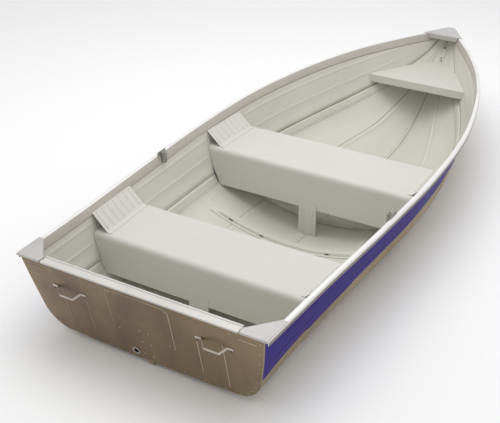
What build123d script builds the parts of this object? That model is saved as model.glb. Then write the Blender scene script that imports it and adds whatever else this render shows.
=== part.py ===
from build123d import *
import math
import os

# A small open row boat of riveted sheet metal, with a round bottom and a raked transom.
# x runs forward from mid length, y to port and z up from the waterline of the empty boat.
# Lengths are in millimetres.

# Hull form
hull_length = 3660.0
beam = 1375.0
transom_height = 396.0
keel_depth = 113.0
draft_at_transom = -30.0
bow_lift = 76.0
transom_rake = 12.9

# Sheet gauges and the gap left where pieces meet
hull_gauge = 2.0
transom_gauge = 3.0
seat_gauge = 2.0
fit = 0.3

# Gunwale rail
rail_overhang = 18.0
rail_wall = 3.0
rail_lip = 27.0
rail_leg = 46.0
leg_share = 0.7
rail_round = 7.0

# Keel bar and stem band
keel_width = 26.0
keel_height = 20.0
stem_width = 30.0
stem_gauge = 4.0

# Transom fittings. The board and cap end short of the corner plates by cap_gap, the
# handles sit handle_inset inboard of the board's ends and the knee ends knee_gap under
# the motor's pad.
board_thickness = 38.0
board_depth = 120.0
pad_half_width = 157.0
pad_depth = 205.0
pad_round = 18.0
cap_gap = 6.5
cap_lip = 7.0
cap_leg = 20.0
cap_wall = 3.0
cap_step_width = 9.0
cap_step_height = 3.0
corner_length = 150.0
corner_width = 124.0
corner_plate = 3.0
corner_notch = 28.0
corner_flange = 14.0
handle_span = 180.0
handle_inset = 125.4
handle_height = 277.0
handle_strap = 11.0
handle_gauge = 4.0
handle_reach = 30.0
handle_drop = 17.0
handle_pad = 28.0
handle_middle = 72.0
handle_bend = 9.0
drain_offset = 70.0
drain_height = 34.0
drain_bore = 25.0
drain_wall = 1.5
drain_flange = 40.0
drain_length = 34.0
knee_gap = 11.2
knee_foot = 200.0
knee_width = 64.0
knee_gauge = 2.5
knee_top_run = 27.0
knee_toe = 12.0

# Beads pressed out of the transom: a round-cornered frame around the motor's pad, and
# straight ones as (offset, lower height, upper height) or (height, inner and outer offset)
bead_width = 11.0
bead_height = 3.0
frame_top = 368.0
frame_foot = 140.0
frame_round = 22.0
upright_beads = [(280.0, 65.0, 250.0), (405.0, 33.0, 280.0)]
level_beads = [(352.0, 490.0, 570.0)]

# Seats, measured forward from the transom's top edge
stern_seat_at = 469.0
stern_seat_length = 352.0
stern_seat_top = 276.0
stern_seat_depth = 210.0
middle_seat_at = 1541.0
middle_seat_length = 363.0
middle_seat_top = 282.0
middle_seat_depth = 223.0
seat_round = 34.0
seat_corner = 12.0
bow_seat_run = 615.0
bow_seat_top = 277.0
bow_seat_flange = 50.0
bow_seat_mitre = 26.0

# Seat posts and gussets
post_width = 105.0
post_overlap = 38.0
post_gauge = 3.0
post_bead = 12.0
gusset_run = 92.0
gusset_gauge = 2.0
gusset_margin = 24.0
gusset_fore_margin = 14.0
gusset_lap = 8.0
gusset_under_rail = 28.0
gusset_flange = 20.0
gusset_beads = 7
gusset_bead_width = 10.0
gusset_bead_height = 4.0
gusset_bead_share = 0.72
gusset_bead_taper = 30.0

# Floor ribs
rib_height = 16.0
rib_width = 36.0
rib_flange = 22.0
rib_gauge = 2.0
rib_places = {"rib_aft": 640.0, "rib_middle": 1370.0, "rib_forward": 1730.0}

# Oarlock sockets
socket_at = 1120.0
socket_bore = 13.0
socket_outer = 27.0
socket_rise = 12.0
socket_drop = 44.0
socket_plate_length = 74.0
socket_plate_gauge = 4.0
socket_plate_round = 9.0
socket_web = 19.0

# Bow fittings
bow_plate_length = 172.0
bow_plate_gauge = 3.0
bow_plate_flange = 30.0
bow_plate_mitre = 12.0
bow_nose = 22.0
bow_nose_round = 20.0
eye_gauge = 9.0
eye_reach = 47.0
eye_hole = 24.0
eye_rim = 9.0
eye_base_length = 66.0
eye_base_width = 26.0
eye_base_gauge = 3.0
eye_base_round = 6.0
strap_width = 20.0
strap_gauge = 4.0
strap_aft = 152.0
strap_fore = 85.0

# Table of offsets, as shares of the driving sizes.
# at: share of length. keel: 0 at the transom's foot, 1 at the full depth. Where the keel
# rises over the foot it is negative, and -1 is stem_share of the transom's height.
# low and high: bilge and chine as (share of half beam, height over the transom's foot
# as a share of transom height). rail: outer edge as a share of half beam.
# bow_1, bow_2, bow_3: how far the bottom, bilge and side arcs stand out of their chords,
# as shares of half beam.
OFFSETS = [
    # at, keel, low_y, low_z, high_y, high_z, rail, sheer, bow_1, bow_2, bow_3
    (-0.0055, -0.070, 0.662, 0.012, 0.812, 0.315, 0.9050, 0.000, 0.0020, 0.036, 0.004),
    (0.1230, 0.270, 0.680, 0.018, 0.817, 0.325, 0.9300, 0.029, 0.0150, 0.026, 0.004),
    (0.2730, 0.610, 0.708, 0.030, 0.843, 0.308, 0.9740, 0.086, 0.0285, 0.022, 0.004),
    (0.4235, 0.930, 0.727, 0.038, 0.868, 0.287, 1.0000, 0.202, 0.0440, 0.021, 0.004),
    (0.5740, 1.000, 0.687, 0.034, 0.822, 0.310, 0.9600, 0.360, 0.0430, 0.020, 0.004),
    (0.7105, 0.973, 0.548, 0.045, 0.681, 0.345, 0.8150, 0.543, 0.0310, 0.017, 0.004),
    (0.7925, 0.735, 0.395, 0.105, 0.538, 0.418, 0.6680, 0.670, 0.0180, 0.012, 0.003),
    (0.8470, 0.090, 0.280, 0.265, 0.410, 0.520, 0.5360, 0.759, 0.0100, 0.008, 0.003),
    (0.9016, -1.090, 0.165, 0.485, 0.265, 0.655, 0.3700, 0.849, 0.0050, 0.005, 0.003),
    (0.9508, -2.180, 0.080, 0.705, 0.140, 0.845, 0.2020, 0.925, 0.0020, 0.003, 0.003),
    (0.9781, -3.190, 0.035, 0.975, 0.065, 1.050, 0.1120, 0.968, 0.0010, 0.002, 0.002),
    (0.9918, -3.720, 0.014, 1.078, 0.028, 1.108, 0.0640, 0.988, 0.0006, 0.001, 0.001),
]
COLUMNS = ("at", "keel", "low_y", "low_z", "high_y", "high_z", "rail", "sheer",
           "bow_1", "bow_2", "bow_3")

stem_share = 0.28535

half_length = hull_length / 2
half_beam = beam / 2
foot_z = -draft_at_transom
sheer_z = foot_z + transom_height


def station(row):
    """Turn a row of shares into a dictionary of millimetres."""
    share = dict(zip(COLUMNS, row))
    keel_scale = keel_depth if share["keel"] > 0 else stem_share * transom_height
    return {
        "x": share["at"] * hull_length - half_length,
        "keel": foot_z - share["keel"] * keel_scale,
        "low": (share["low_y"] * half_beam, foot_z + share["low_z"] * transom_height),
        "high": (share["high_y"] * half_beam, foot_z + share["high_z"] * transom_height),
        "rail": share["rail"] * half_beam,
        "sheer": sheer_z + share["sheer"] * bow_lift,
        "bows": [share[name] * half_beam for name in ("bow_1", "bow_2", "bow_3")],
    }


def row_at(x):
    """Blend the table's rows to the place x, by a cubic through the neighbouring rows."""
    at = (x + half_length) / hull_length
    places = [row[0] for row in OFFSETS]
    last = len(places) - 2
    i = min(max(sum(place <= at for place in places) - 1, 0), last)
    span = places[i + 1] - places[i]
    t = (at - places[i]) / span

    def slope(k, column):
        a = max(k - 1, 0)
        b = min(k + 1, len(places) - 1)
        return (OFFSETS[b][column] - OFFSETS[a][column]) / (places[b] - places[a])

    row = [at]
    for column in range(1, len(COLUMNS)):
        p, q = OFFSETS[i][column], OFFSETS[i + 1][column]
        m, n = slope(i, column) * span, slope(i + 1, column) * span
        bend = (2 * t**3 - 3 * t**2 + 1) * p + (t**3 - 2 * t**2 + t) * m
        row.append(bend + (3 * t**2 - 2 * t**3) * q + (t**3 - t**2) * n)
    return row


def arc_turn(start, end, bow):
    """Chord length, chord angle and half the turn of an arc that bows outboard."""
    across = end[0] - start[0]
    up = end[1] - start[1]
    chord = math.hypot(across, up)
    return chord, math.atan2(up, across), 2 * math.atan(2 * bow / chord)


def shifted(point, angle, distance):
    """Move a section point inboard, square to a tangent of the given angle."""
    return (point[0] - distance * math.sin(angle), point[1] + distance * math.cos(angle))


def bowed_middle(start, end, bow):
    """The middle point of an arc that bows outboard of the chord from start to end."""
    _, angle, _ = arc_turn(start, end, bow)
    middle = ((start[0] + end[0]) / 2, (start[1] + end[1]) / 2)
    return shifted(middle, angle, -bow)


def section(place, inset):
    """Hull section of one station, moved inboard by inset: keel, bilge, chine and top."""
    keel = (0.0, place["keel"])
    top = (place["rail"] - rail_overhang, place["sheer"] - rail_wall - fit)
    corners = [keel, place["low"], place["high"], top]
    turns = [arc_turn(corners[k], corners[k + 1], place["bows"][k]) for k in range(3)]
    start_angle = turns[0][1] - turns[0][2]
    low_angle = (turns[0][1] + turns[0][2] + turns[1][1] - turns[1][2]) / 2
    high_angle = (turns[1][1] + turns[1][2] + turns[2][1] - turns[2][2]) / 2
    top_angle = turns[2][1] + turns[2][2]
    moved = [
        (0.0, keel[1] + inset / math.cos(start_angle)),
        shifted(place["low"], low_angle, inset),
        shifted(place["high"], high_angle, inset),
        (top[0] - inset / math.sin(top_angle), top[1]),
    ]
    bows = []
    for k in range(3):
        chord = math.dist(moved[k], moved[k + 1])
        bows.append(place["bows"][k] * chord / turns[k][0])
    side_radius = turns[2][0] / (2 * math.sin(turns[2][2]))
    return {"points": moved, "bows": bows, "high_angle": high_angle, "top_angle": top_angle,
            "side_radius": side_radius}


def crossing(place, inset, value, axis):
    """Where the inset section first reaches a breadth (axis 0) or a height (axis 1)."""
    cut = section(place, inset)
    points = cut["points"]
    part = next(k for k in range(3) if points[k + 1][axis] >= value or k == 2)
    chord, angle, half = arc_turn(points[part], points[part + 1], cut["bows"][part])
    low, high = 0.0, 1.0
    for _ in range(40):
        share = (low + high) / 2
        reach = chord * math.sin(half * share) / math.sin(half)
        way = angle - half + half * share
        found = (points[part][0] + reach * math.cos(way), points[part][1] + reach * math.sin(way))
        if found[axis] < value:
            low = share
        else:
            high = share
    return found


def rail_corners(place):
    """Corners of the gunwale rail's legs at one station: the groove and the inner leg."""
    skin = section(place, hull_gauge + fit)
    angle = skin["top_angle"]
    depth = min(rail_leg, leg_share * (place["sheer"] - place["high"][1]))
    lean = angle - depth / (2 * skin["side_radius"])
    groove = (skin["points"][3][0], place["sheer"] - rail_wall)
    toe = (groove[0] - depth * math.cos(lean), groove[1] - depth * math.sin(lean))
    wall = rail_wall / math.sin(lean)
    return {"groove": groove, "toe": toe, "wall": wall, "lean": lean}


def mirrored(points):
    """The same points on the starboard side, in the opposite order."""
    return [None if point is None else (-point[0], point[1]) for point in reversed(points)]


def draw(points, middles):
    """Draw a closed outline. middles holds a middle point for each edge that is an arc."""
    count = len(points)
    for k in range(count):
        start, end = points[k], points[(k + 1) % count]
        if middles[k] is None:
            Line(start, end)
        else:
            ThreePointArc(start, middles[k], end)


def skin_arcs(cut, first, last):
    """Points and arc middles along a section from corner first to corner last."""
    points = cut["points"][first:last + 1]
    middles = []
    for k in range(first, last):
        middles.append(bowed_middle(cut["points"][k], cut["points"][k + 1], cut["bows"][k]))
    return points, middles


def all_rows():
    """The table's rows with one blended row halfway between each pair."""
    places = [row[0] for row in OFFSETS]
    middles = [(a + b) / 2 for a, b in zip(places, places[1:])]
    return [row_at(at * hull_length - half_length) for at in sorted(places + middles)]


ROWS = all_rows()
STATIONS = [station(row) for row in ROWS]


def lofted_row(x):
    """The row of the lofted form itself at the place x, straight between its stations."""
    at = (x + half_length) / hull_length
    i = max(k for k in range(len(ROWS) - 1) if ROWS[k][0] <= at)
    share = (at - ROWS[i][0]) / (ROWS[i + 1][0] - ROWS[i][0])
    return [a + share * (b - a) for a, b in zip(ROWS[i], ROWS[i + 1])]


def bottom_outline(place, side):
    """One half of the bottom sheet: keel to chine outside, then back inside."""
    outer, outer_arcs = skin_arcs(section(place, 0.0), 0, 2)
    inner, inner_arcs = skin_arcs(section(place, hull_gauge), 0, 2)
    points = outer + inner[::-1]
    middles = outer_arcs + [None] + inner_arcs[::-1] + [None]
    return flipped(points, middles, side)


def side_outline(place, side):
    """One side sheet, from the chine seam up to the rail's groove."""
    pairs = []
    for inset in (0.0, hull_gauge):
        cut = section(place, inset)
        seam = cut["points"][2]
        lift = (seam[0] + fit * math.cos(cut["high_angle"]),
                seam[1] + fit * math.sin(cut["high_angle"]))
        top = cut["points"][3]
        pairs.append((lift, bowed_middle(lift, top, cut["bows"][2]), top))
    outer, inner = pairs
    points = [outer[0], outer[2], inner[2], inner[0]]
    return flipped(points, [outer[1], None, inner[1], None], side)


def rail_outline(place, side):
    """The gunwale rail: rounded outer lip, top plate and a leg inside the side sheet."""
    corner = rail_corners(place)
    edge = place["rail"]
    top = place["sheer"]
    groove, toe, wall = corner["groove"], corner["toe"], corner["wall"]
    bend = rail_round * (1 - math.sqrt(0.5))
    points = [
        (edge - rail_round, top),
        (edge, top - rail_round),
        (edge, top - rail_lip),
        (edge - rail_wall, top - rail_lip),
        (edge - rail_wall, top - rail_wall),
        groove,
        toe,
        (toe[0] - wall, toe[1]),
        (groove[0] - wall + rail_wall / math.tan(corner["lean"]), top),
    ]
    middles = [(edge - bend, top - bend)] + [None] * 8
    return flipped(points, middles, side)


def flipped(points, middles, side):
    """Leave an outline on the port side, or mirror it to starboard."""
    if side > 0:
        return points, middles
    return mirrored(points)[::-1], mirrored(middles)[::-1]


def closed_outline(place, inset):
    """The whole hull section moved inboard by inset, closed across the top."""
    points, middles = skin_arcs(section(place, inset), 0, 3)
    other = mirrored(points)
    return other + points[1:], mirrored(middles) + middles + [None]


def cabin_outline(place):
    """The space inside the boat: clear of the skins and of the rails' inner legs."""
    cut = section(place, hull_gauge + fit)
    points, middles = skin_arcs(cut, 0, 2)
    corner = rail_corners(place)
    toe, wall = corner["toe"], corner["wall"] + fit
    under = (toe[0] - fit * math.cos(corner["lean"]), toe[1] - fit * math.sin(corner["lean"]))
    chord = math.dist(points[-1], under)
    bow = chord**2 / (8 * cut["side_radius"])
    middles.append(bowed_middle(points[-1], under, bow))
    inner_top = corner["groove"][0] - wall + rail_wall / math.tan(corner["lean"])
    points += [under, (under[0] - wall, under[1]), (inner_top, place["sheer"]),
               (inner_top, place["sheer"] + rail_leg)]
    middles += [None, None, None]
    other = mirrored(points)
    return other + points[1:], mirrored(middles) + middles + [None]


def keel_outline(place, width, height):
    """A bar under the keel line."""
    top = place["keel"] - fit
    points = [(-width / 2, top), (width / 2, top),
              (width / 2, top - height), (-width / 2, top - height)]
    return points, [None] * 4


def under_outline(place, inset):
    """Everything under the floor's inner face raised by inset, out to the bilge."""
    low = foot_z - 2 * keel_depth
    points, middles = skin_arcs(section(place, inset), 0, 1)
    other = mirrored(points)
    reach = points[-1][0]
    points = other + points[1:] + [(reach, low), (-reach, low)]
    return points, mirrored(middles) + middles + [None, None, None]


# Planes of the raked transom. Local x runs to starboard, local y up the transom's slope
# and local z aft, out of its outer face. The origin is on the transom's foot.
rake = math.radians(transom_rake)
foot_x = -half_length + transom_height * math.tan(rake)
transom_plane = Plane(origin=(foot_x, 0, foot_z), x_dir=(0, -1, 0),
                      z_dir=(-math.cos(rake), 0, -math.sin(rake)))
transom_inner = transom_plane.offset(-transom_gauge)
rail_top = STATIONS[0]["sheer"]
sheet_top = rail_top - rail_wall - fit


def transom_x(z):
    """Where the transom's outer face is at the height z."""
    return foot_x - (z - foot_z) * math.tan(rake)


def up_slope(height):
    """Distance up the transom's slope for a height over its foot."""
    return height / math.cos(rake)


os.makedirs("parts", exist_ok=True)


def save(solid, name):
    """Label a finished piece and write it."""
    solid.label = name
    export_step(solid, f"parts/{name}.step")


# The space inside the boat, which trims every piece that fits inside the hull.
with BuildPart() as cabin:
    for place in STATIONS:
        with BuildSketch(Plane.YZ.offset(place["x"])):
            with BuildLine():
                draw(*cabin_outline(place))
            make_face()
    loft(ruled=True)
    split(bisect_by=transom_inner, keep=Keep.BOTTOM)

# The whole hull as one closed form, which gives the transom its outline.
with BuildPart() as hull_form:
    for place in STATIONS:
        with BuildSketch(Plane.YZ.offset(place["x"])):
            with BuildLine():
                draw(*closed_outline(place, 0.0))
            make_face()
    loft(ruled=True)

# Bottom and side sheets, and the gunwale rails
for side, side_name in ((1, "port"), (-1, "starboard")):
    for sheet, outline in (("hull_bottom", bottom_outline), ("hull_side", side_outline),
                           ("gunwale", rail_outline)):
        with BuildPart() as skin:
            for place in STATIONS:
                with BuildSketch(Plane.YZ.offset(place["x"])):
                    with BuildLine():
                        draw(*outline(place, side))
                    make_face()
            loft(ruled=True)
            split(bisect_by=transom_inner, keep=Keep.BOTTOM)
        save(skin.part, f"{sheet}_{side_name}")

# Keel bar, from the transom to the forefoot, and the stem band above it
KEEL_STATIONS = STATIONS[:15]
STEM_STATIONS = STATIONS[14:]
with BuildPart() as keel:
    for place in KEEL_STATIONS:
        with BuildSketch(Plane.YZ.offset(place["x"])):
            with BuildLine():
                draw(*keel_outline(place, keel_width, keel_height))
            make_face()
    loft(ruled=True)
    split(bisect_by=transom_plane, keep=Keep.BOTTOM)
save(keel.part, "keel")

band_line = []
with BuildPart() as stem_band:
    for k, place in enumerate(STEM_STATIONS):
        ahead = STEM_STATIONS[min(k + 1, len(STEM_STATIONS) - 1)]
        behind = STEM_STATIONS[max(k - 1, 0)]
        steep = (ahead["keel"] - behind["keel"]) / (ahead["x"] - behind["x"])
        band = stem_gauge * math.sqrt(1 + steep**2)
        band_line.append((place["x"] + fit, place["keel"] - fit - band))
        with BuildSketch(Plane.YZ.offset(place["x"] + fit)):
            with BuildLine():
                draw(*keel_outline(place, stem_width, band))
            make_face()
    loft(ruled=True)
save(stem_band.part, "stem_band")

# Transom sheet with the hole for the drain and the pressed beads
drain_at = (-drain_offset, up_slope(drain_height))
with BuildPart() as transom:
    with BuildSketch(transom_inner):
        with Locations((0, up_slope(transom_height) / 2)):
            Rectangle(beam * 1.2, up_slope(transom_height) * 1.6)
    extrude(amount=transom_gauge)
    add(hull_form.part, mode=Mode.INTERSECT)
    with BuildSketch(transom_inner):
        with Locations(drain_at):
            Circle(drain_bore / 2 + drain_wall + fit / 2)
    extrude(amount=transom_gauge, mode=Mode.SUBTRACT)
    with BuildSketch(transom_plane):
        with BuildLine():
            FilletPolyline(
                (-pad_half_width, up_slope(frame_foot)), (-pad_half_width, up_slope(frame_top)),
                (pad_half_width, up_slope(frame_top)), (pad_half_width, up_slope(frame_foot)),
                radius=frame_round,
            )
        trace(line_width=bead_width)
        for side in (1, -1):
            for offset, low, high in upright_beads:
                with Locations((side * offset, up_slope((low + high) / 2))):
                    Rectangle(bead_width, up_slope(high - low))
            for height, inner, outer in level_beads:
                with Locations((side * (inner + outer) / 2, up_slope(height))):
                    Rectangle(outer - inner, bead_width)
    extrude(amount=bead_height)
save(transom.part, "transom")

# Flanged drain tube through the transom
with BuildPart() as drain:
    with BuildSketch(transom_plane.offset(fit / 2)):
        with Locations(drain_at):
            Circle(drain_flange / 2)
    extrude(amount=drain_wall)
    with BuildSketch(transom_plane.offset(fit / 2 + drain_wall)):
        with Locations(drain_at):
            Circle(drain_bore / 2 + drain_wall)
    extrude(amount=-drain_length)
    with BuildSketch(transom_plane.offset(fit / 2 + drain_wall)):
        with Locations(drain_at):
            Circle(drain_bore / 2)
    extrude(amount=-drain_length, mode=Mode.SUBTRACT)
save(drain.part, "drain_tube")

# Motor board: a strip across the transom's inside with a deeper pad in the middle
first, second = station(row_at(-half_length)), station(row_at(-half_length + corner_length))
board_half_width = first["rail"] - corner_width - cap_gap
board_top = up_slope(transom_height)
with BuildPart() as motor_board:
    with BuildSketch(transom_inner.offset(-fit / 2)):
        with Locations((0, board_top - board_depth / 2)):
            Rectangle(2 * board_half_width, board_depth + 2 * rail_wall)
        with Locations((0, board_top - pad_depth / 2)):
            RectangleRounded(2 * pad_half_width, pad_depth, pad_round)
    extrude(amount=-board_thickness)
    split(bisect_by=Plane.XY.offset(sheet_top), keep=Keep.BOTTOM)
save(motor_board.part, "motor_board")

# Cap over the transom's sheet and board: a short lip down its aft edge, a longer leg
# inside and a raised step along its inner edge
cap_under = sheet_top + fit / 2
cap_top = cap_under + cap_wall
lip_foot = cap_under - cap_lip
leg_foot = cap_under - cap_leg
stack = (transom_gauge + board_thickness) / math.cos(rake) + fit
cap_fore = transom_x(cap_top) + stack + cap_wall + fit
with BuildPart() as transom_cap:
    with BuildSketch(Plane.XZ.offset(-board_half_width)):
        Polygon(
            (transom_x(cap_top) - cap_wall - fit, cap_top),
            (transom_x(lip_foot) - cap_wall - fit, lip_foot),
            (transom_x(lip_foot) - fit, lip_foot),
            (transom_x(cap_under) - fit, cap_under),
            (transom_x(cap_under) + stack + fit, cap_under),
            (transom_x(leg_foot) + stack + fit, leg_foot),
            (transom_x(leg_foot) + stack + cap_wall + fit, leg_foot),
            (cap_fore, cap_top + cap_step_height),
            (cap_fore - cap_step_width, cap_top + cap_step_height),
            (cap_fore - cap_step_width, cap_top),
            align=None,
        )
    extrude(amount=2 * board_half_width)
save(transom_cap.part, "transom_cap")

# Stern corner plates, on the rails and the transom's ends, each with a lip down the
# transom's outer face and a flange down its slanted inner edge
stern_slope = (second["sheer"] - first["sheer"]) / corner_length
for side, side_name in ((1, "port"), (-1, "starboard")):
    plate_plane = Plane(origin=(-half_length, 0, first["sheer"] + fit / 2), x_dir=(1, 0, stern_slope),
                        z_dir=(-stern_slope, 0, 1))
    aft_edge = -cap_wall - fit
    outer_aft = first["rail"] * side
    outer_fore = second["rail"] * side
    inner_aft = (first["rail"] - corner_width) * side
    inner_fore = (second["rail"] - rail_overhang - 2 * rail_wall) * side
    with BuildPart() as corner:
        with BuildSketch(plate_plane):
            Polygon((corner_length, inner_fore), (corner_notch, inner_aft),
                    (corner_notch, inner_aft + corner_plate * side),
                    (corner_length - corner_plate, inner_fore + corner_plate * side), align=None)
        extrude(amount=-corner_flange)
        add(cabin.part, mode=Mode.INTERSECT)
        with BuildSketch(plate_plane):
            Polygon((aft_edge, outer_aft), (corner_length, outer_fore), (corner_length, inner_fore),
                    (corner_notch, inner_aft), (aft_edge, inner_aft), align=None)
        extrude(amount=corner_plate)
        with BuildSketch(plate_plane):
            Polygon((aft_edge, outer_aft), (-fit, outer_aft), (-fit, inner_aft),
                    (aft_edge, inner_aft), align=None)
        extrude(amount=-cap_lip)
    save(corner.part, f"corner_plate_{side_name}")

# Cast lift handles. Each is a strap seen from above as a bail that stands out from two
# flat pads, and from behind as one that drops in its middle.
for side, side_name in ((1, "port"), (-1, "starboard")):
    centre = transom_plane.offset(fit / 2).from_local_coords(
        Vector(-side * (board_half_width - handle_inset), up_slope(handle_height), 0))
    face_plane = Plane(origin=centre, x_dir=transom_plane.x_dir, z_dir=transom_plane.z_dir)
    plan_plane = Plane(origin=centre, x_dir=transom_plane.x_dir, z_dir=-transom_plane.y_dir)
    end = handle_span / 2
    pad_end = end - handle_pad
    flat = handle_middle / 2
    with BuildPart() as handle:
        with BuildSketch(plan_plane):
            with BuildLine():
                FilletPolyline((-end, handle_gauge / 2), (-pad_end, handle_gauge / 2),
                               (-flat, handle_reach), (flat, handle_reach),
                               (pad_end, handle_gauge / 2), (end, handle_gauge / 2),
                               radius=handle_bend)
            trace(line_width=handle_gauge)
        extrude(amount=handle_drop + handle_strap, both=True)
        with BuildSketch(face_plane):
            with BuildLine():
                FilletPolyline((-end, 0), (-pad_end, 0), (-flat, -handle_drop), (flat, -handle_drop),
                               (pad_end, 0), (end, 0), radius=handle_bend)
            trace(line_width=handle_strap)
        extrude(amount=handle_reach + handle_gauge, mode=Mode.INTERSECT)
    save(handle.part, f"lift_handle_{side_name}")

# Knee from the transom down to the keel line
knee_height = transom_height - pad_depth * math.cos(rake) - knee_gap
with BuildPart() as knee:
    with BuildSketch(transom_inner.offset(-fit / 2)):
        with Locations((0, up_slope(knee_height) / 2)):
            Rectangle(knee_width, up_slope(knee_height))
    extrude(amount=-knee_gauge)
    with BuildSketch(Plane.XZ.offset(-knee_gauge / 2)):
        Polygon(
            (transom_x(foot_z + knee_height) + transom_gauge + fit, foot_z + knee_height),
            (transom_x(foot_z + knee_height) + transom_gauge + knee_top_run, foot_z + knee_height),
            (foot_x + knee_foot, foot_z + knee_toe),
            (foot_x + knee_foot, foot_z - keel_depth),
            (foot_x, foot_z - keel_depth),
            (foot_x + transom_gauge + fit, foot_z),
            align=None,
        )
    extrude(amount=knee_gauge)
    add(cabin.part, mode=Mode.INTERSECT)
save(knee.part, "transom_knee")


# Floor ribs: a hat section with two flanges, bent to the round of the bottom
for rib_name, rib_from_stern in rib_places.items():
    x = rib_from_stern - half_length
    half = rib_width / 2
    raised = hull_gauge + fit + rib_height
    lapped = hull_gauge + fit + rib_gauge
    inner_half = half - rib_gauge
    with BuildPart() as hollow:
        for end_x in (x - inner_half, x + inner_half):
            with BuildSketch(Plane.YZ.offset(end_x)):
                with BuildLine():
                    draw(*under_outline(station(lofted_row(end_x)), raised - rib_gauge))
                make_face()
        loft()
    with BuildPart() as rib:
        for aft_x, fore_x, inset in ((x - half, x + half, raised),
                                     (x - half - rib_flange, x - inner_half, lapped),
                                     (x + inner_half, x + half + rib_flange, lapped)):
            for end_x in (aft_x, fore_x):
                with BuildSketch(Plane.YZ.offset(end_x)):
                    with BuildLine():
                        draw(*under_outline(station(lofted_row(end_x)), inset))
                    make_face()
            loft()
        add(hollow.part, mode=Mode.SUBTRACT)
        add(cabin.part, mode=Mode.INTERSECT)
    save(rib.part, rib_name)

# Bench seats: a folded box that runs from side to side, with a rounded aft edge
SEATS = {
    "stern_seat": (stern_seat_at, stern_seat_length, stern_seat_top, stern_seat_depth),
    "middle_seat": (middle_seat_at, middle_seat_length, middle_seat_top, middle_seat_depth),
}
for seat_name, (at, length, top, depth) in SEATS.items():
    seat_plane = Plane(origin=(at - half_length, beam / 2, foot_z + top), x_dir=(1, 0, 0),
                       z_dir=(0, -1, 0))
    with BuildPart() as seat:
        for wall, mode in ((0.0, Mode.ADD), (seat_gauge, Mode.SUBTRACT)):
            with BuildSketch(seat_plane) as seat_box:
                with Locations((length / 2, -depth / 2)):
                    Rectangle(length - 2 * wall, depth - 2 * wall)
                upper = seat_box.vertices().group_by(Axis.Y)[-1].sort_by(Axis.X)
                fillet(upper[0], radius=seat_round - wall)
                upper = seat_box.vertices().group_by(Axis.Y)[-1].sort_by(Axis.X)
                fillet(upper[-1], radius=seat_corner - wall)
            extrude(amount=beam, mode=mode)
        add(cabin.part, mode=Mode.INTERSECT)
    save(seat.part, seat_name)

    # The post under the seat's aft edge
    face_x = at - half_length - fit / 2
    under = foot_z + top - depth
    low = foot_z - 2 * keel_depth
    post_top = under + post_overlap
    with BuildPart() as post:
        with BuildSketch(Plane.YZ.offset(face_x)):
            with Locations((0, (low + post_top) / 2)):
                Rectangle(post_width, post_top - low)
        extrude(amount=-post_gauge)
        with BuildSketch(Plane.YZ.offset(face_x - post_gauge)):
            with Locations((-post_width / 4, (under + low) / 2), (post_width / 4, (under + low) / 2)):
                SlotOverall(under - low - post_bead, post_bead, rotation=90)
        extrude(amount=-post_gauge)
        add(cabin.part, mode=Mode.INTERSECT)
    save(post.part, f"{seat_name.split('_')[0]}_post")

    # Ribbed gusset plates from the seat's ends up to the rails
    for side, side_name in ((1, "port"), (-1, "starboard")):
        aft_x = at - half_length + gusset_margin
        fore_x = at - half_length + length - gusset_fore_margin
        ends = []
        for x in (aft_x, fore_x):
            corner = rail_corners(station(row_at(x)))
            ends.append(corner["toe"][0] - corner["wall"])
        along = Vector(fore_x - aft_x, side * (ends[1] - ends[0]), 0).normalized()
        seat_z = foot_z + top + fit / 2
        rise = sheer_z - gusset_under_rail - seat_z
        slope = Vector(0, side * gusset_run, rise).normalized()
        foot_y = (ends[0] + ends[1]) / 2 - gusset_run + gusset_lap
        low_edge = Vector((aft_x + fore_x) / 2, side * foot_y, seat_z)
        gusset_plane = Plane(origin=low_edge, x_dir=along, z_dir=along.cross(slope) * side)
        plate_length = fore_x - aft_x
        plate_width = math.hypot(gusset_run, rise)
        spacing = plate_length / gusset_beads
        with BuildPart() as gusset:
            with BuildSketch(gusset_plane):
                with Locations((0, side * plate_width / 2)):
                    Rectangle(plate_length, plate_width + 2 * gusset_gauge)
            extrude(amount=gusset_gauge)
            with BuildSketch(gusset_plane.offset(gusset_gauge)):
                with Locations((0, side * plate_width / 2)):
                    with GridLocations(spacing, 1, gusset_beads, 1):
                        Rectangle(gusset_bead_width, plate_width * gusset_bead_share)
            extrude(amount=gusset_bead_height, taper=gusset_bead_taper)
            split(bisect_by=Plane.XY.offset(seat_z), keep=Keep.TOP)
            with BuildSketch(Plane(origin=low_edge, x_dir=along, z_dir=(0, 0, 1))):
                with Locations((0, -side * gusset_flange / 2)):
                    Rectangle(plate_length, gusset_flange + 2 * gusset_gauge)
            extrude(amount=gusset_gauge)
            add(cabin.part, mode=Mode.INTERSECT)
        save(gusset.part, f"{seat_name.split('_')[0]}_gusset_{side_name}")

# Bow seat: a plate trimmed by the hull, with a flange down its aft edge
bow_seat_x = half_length - bow_seat_run
bow_seat_z = foot_z + bow_seat_top
seat_place = station(row_at(bow_seat_x))
flange_foot = bow_seat_z - bow_seat_flange
flange_half = crossing(seat_place, hull_gauge + fit, flange_foot, 1)[0] - bow_seat_mitre
with BuildPart() as bow_seat:
    with BuildSketch(Plane.XY.offset(bow_seat_z)):
        with Locations((bow_seat_x + bow_seat_run / 2, 0)):
            Rectangle(bow_seat_run, beam)
    extrude(amount=-seat_gauge)
    with BuildSketch(Plane.YZ.offset(bow_seat_x)):
        Polygon((-half_beam, bow_seat_z), (half_beam, bow_seat_z), (flange_half, flange_foot),
                (-flange_half, flange_foot), align=None)
    extrude(amount=seat_gauge)
    add(cabin.part, mode=Mode.INTERSECT)
save(bow_seat.part, "bow_seat")

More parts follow.
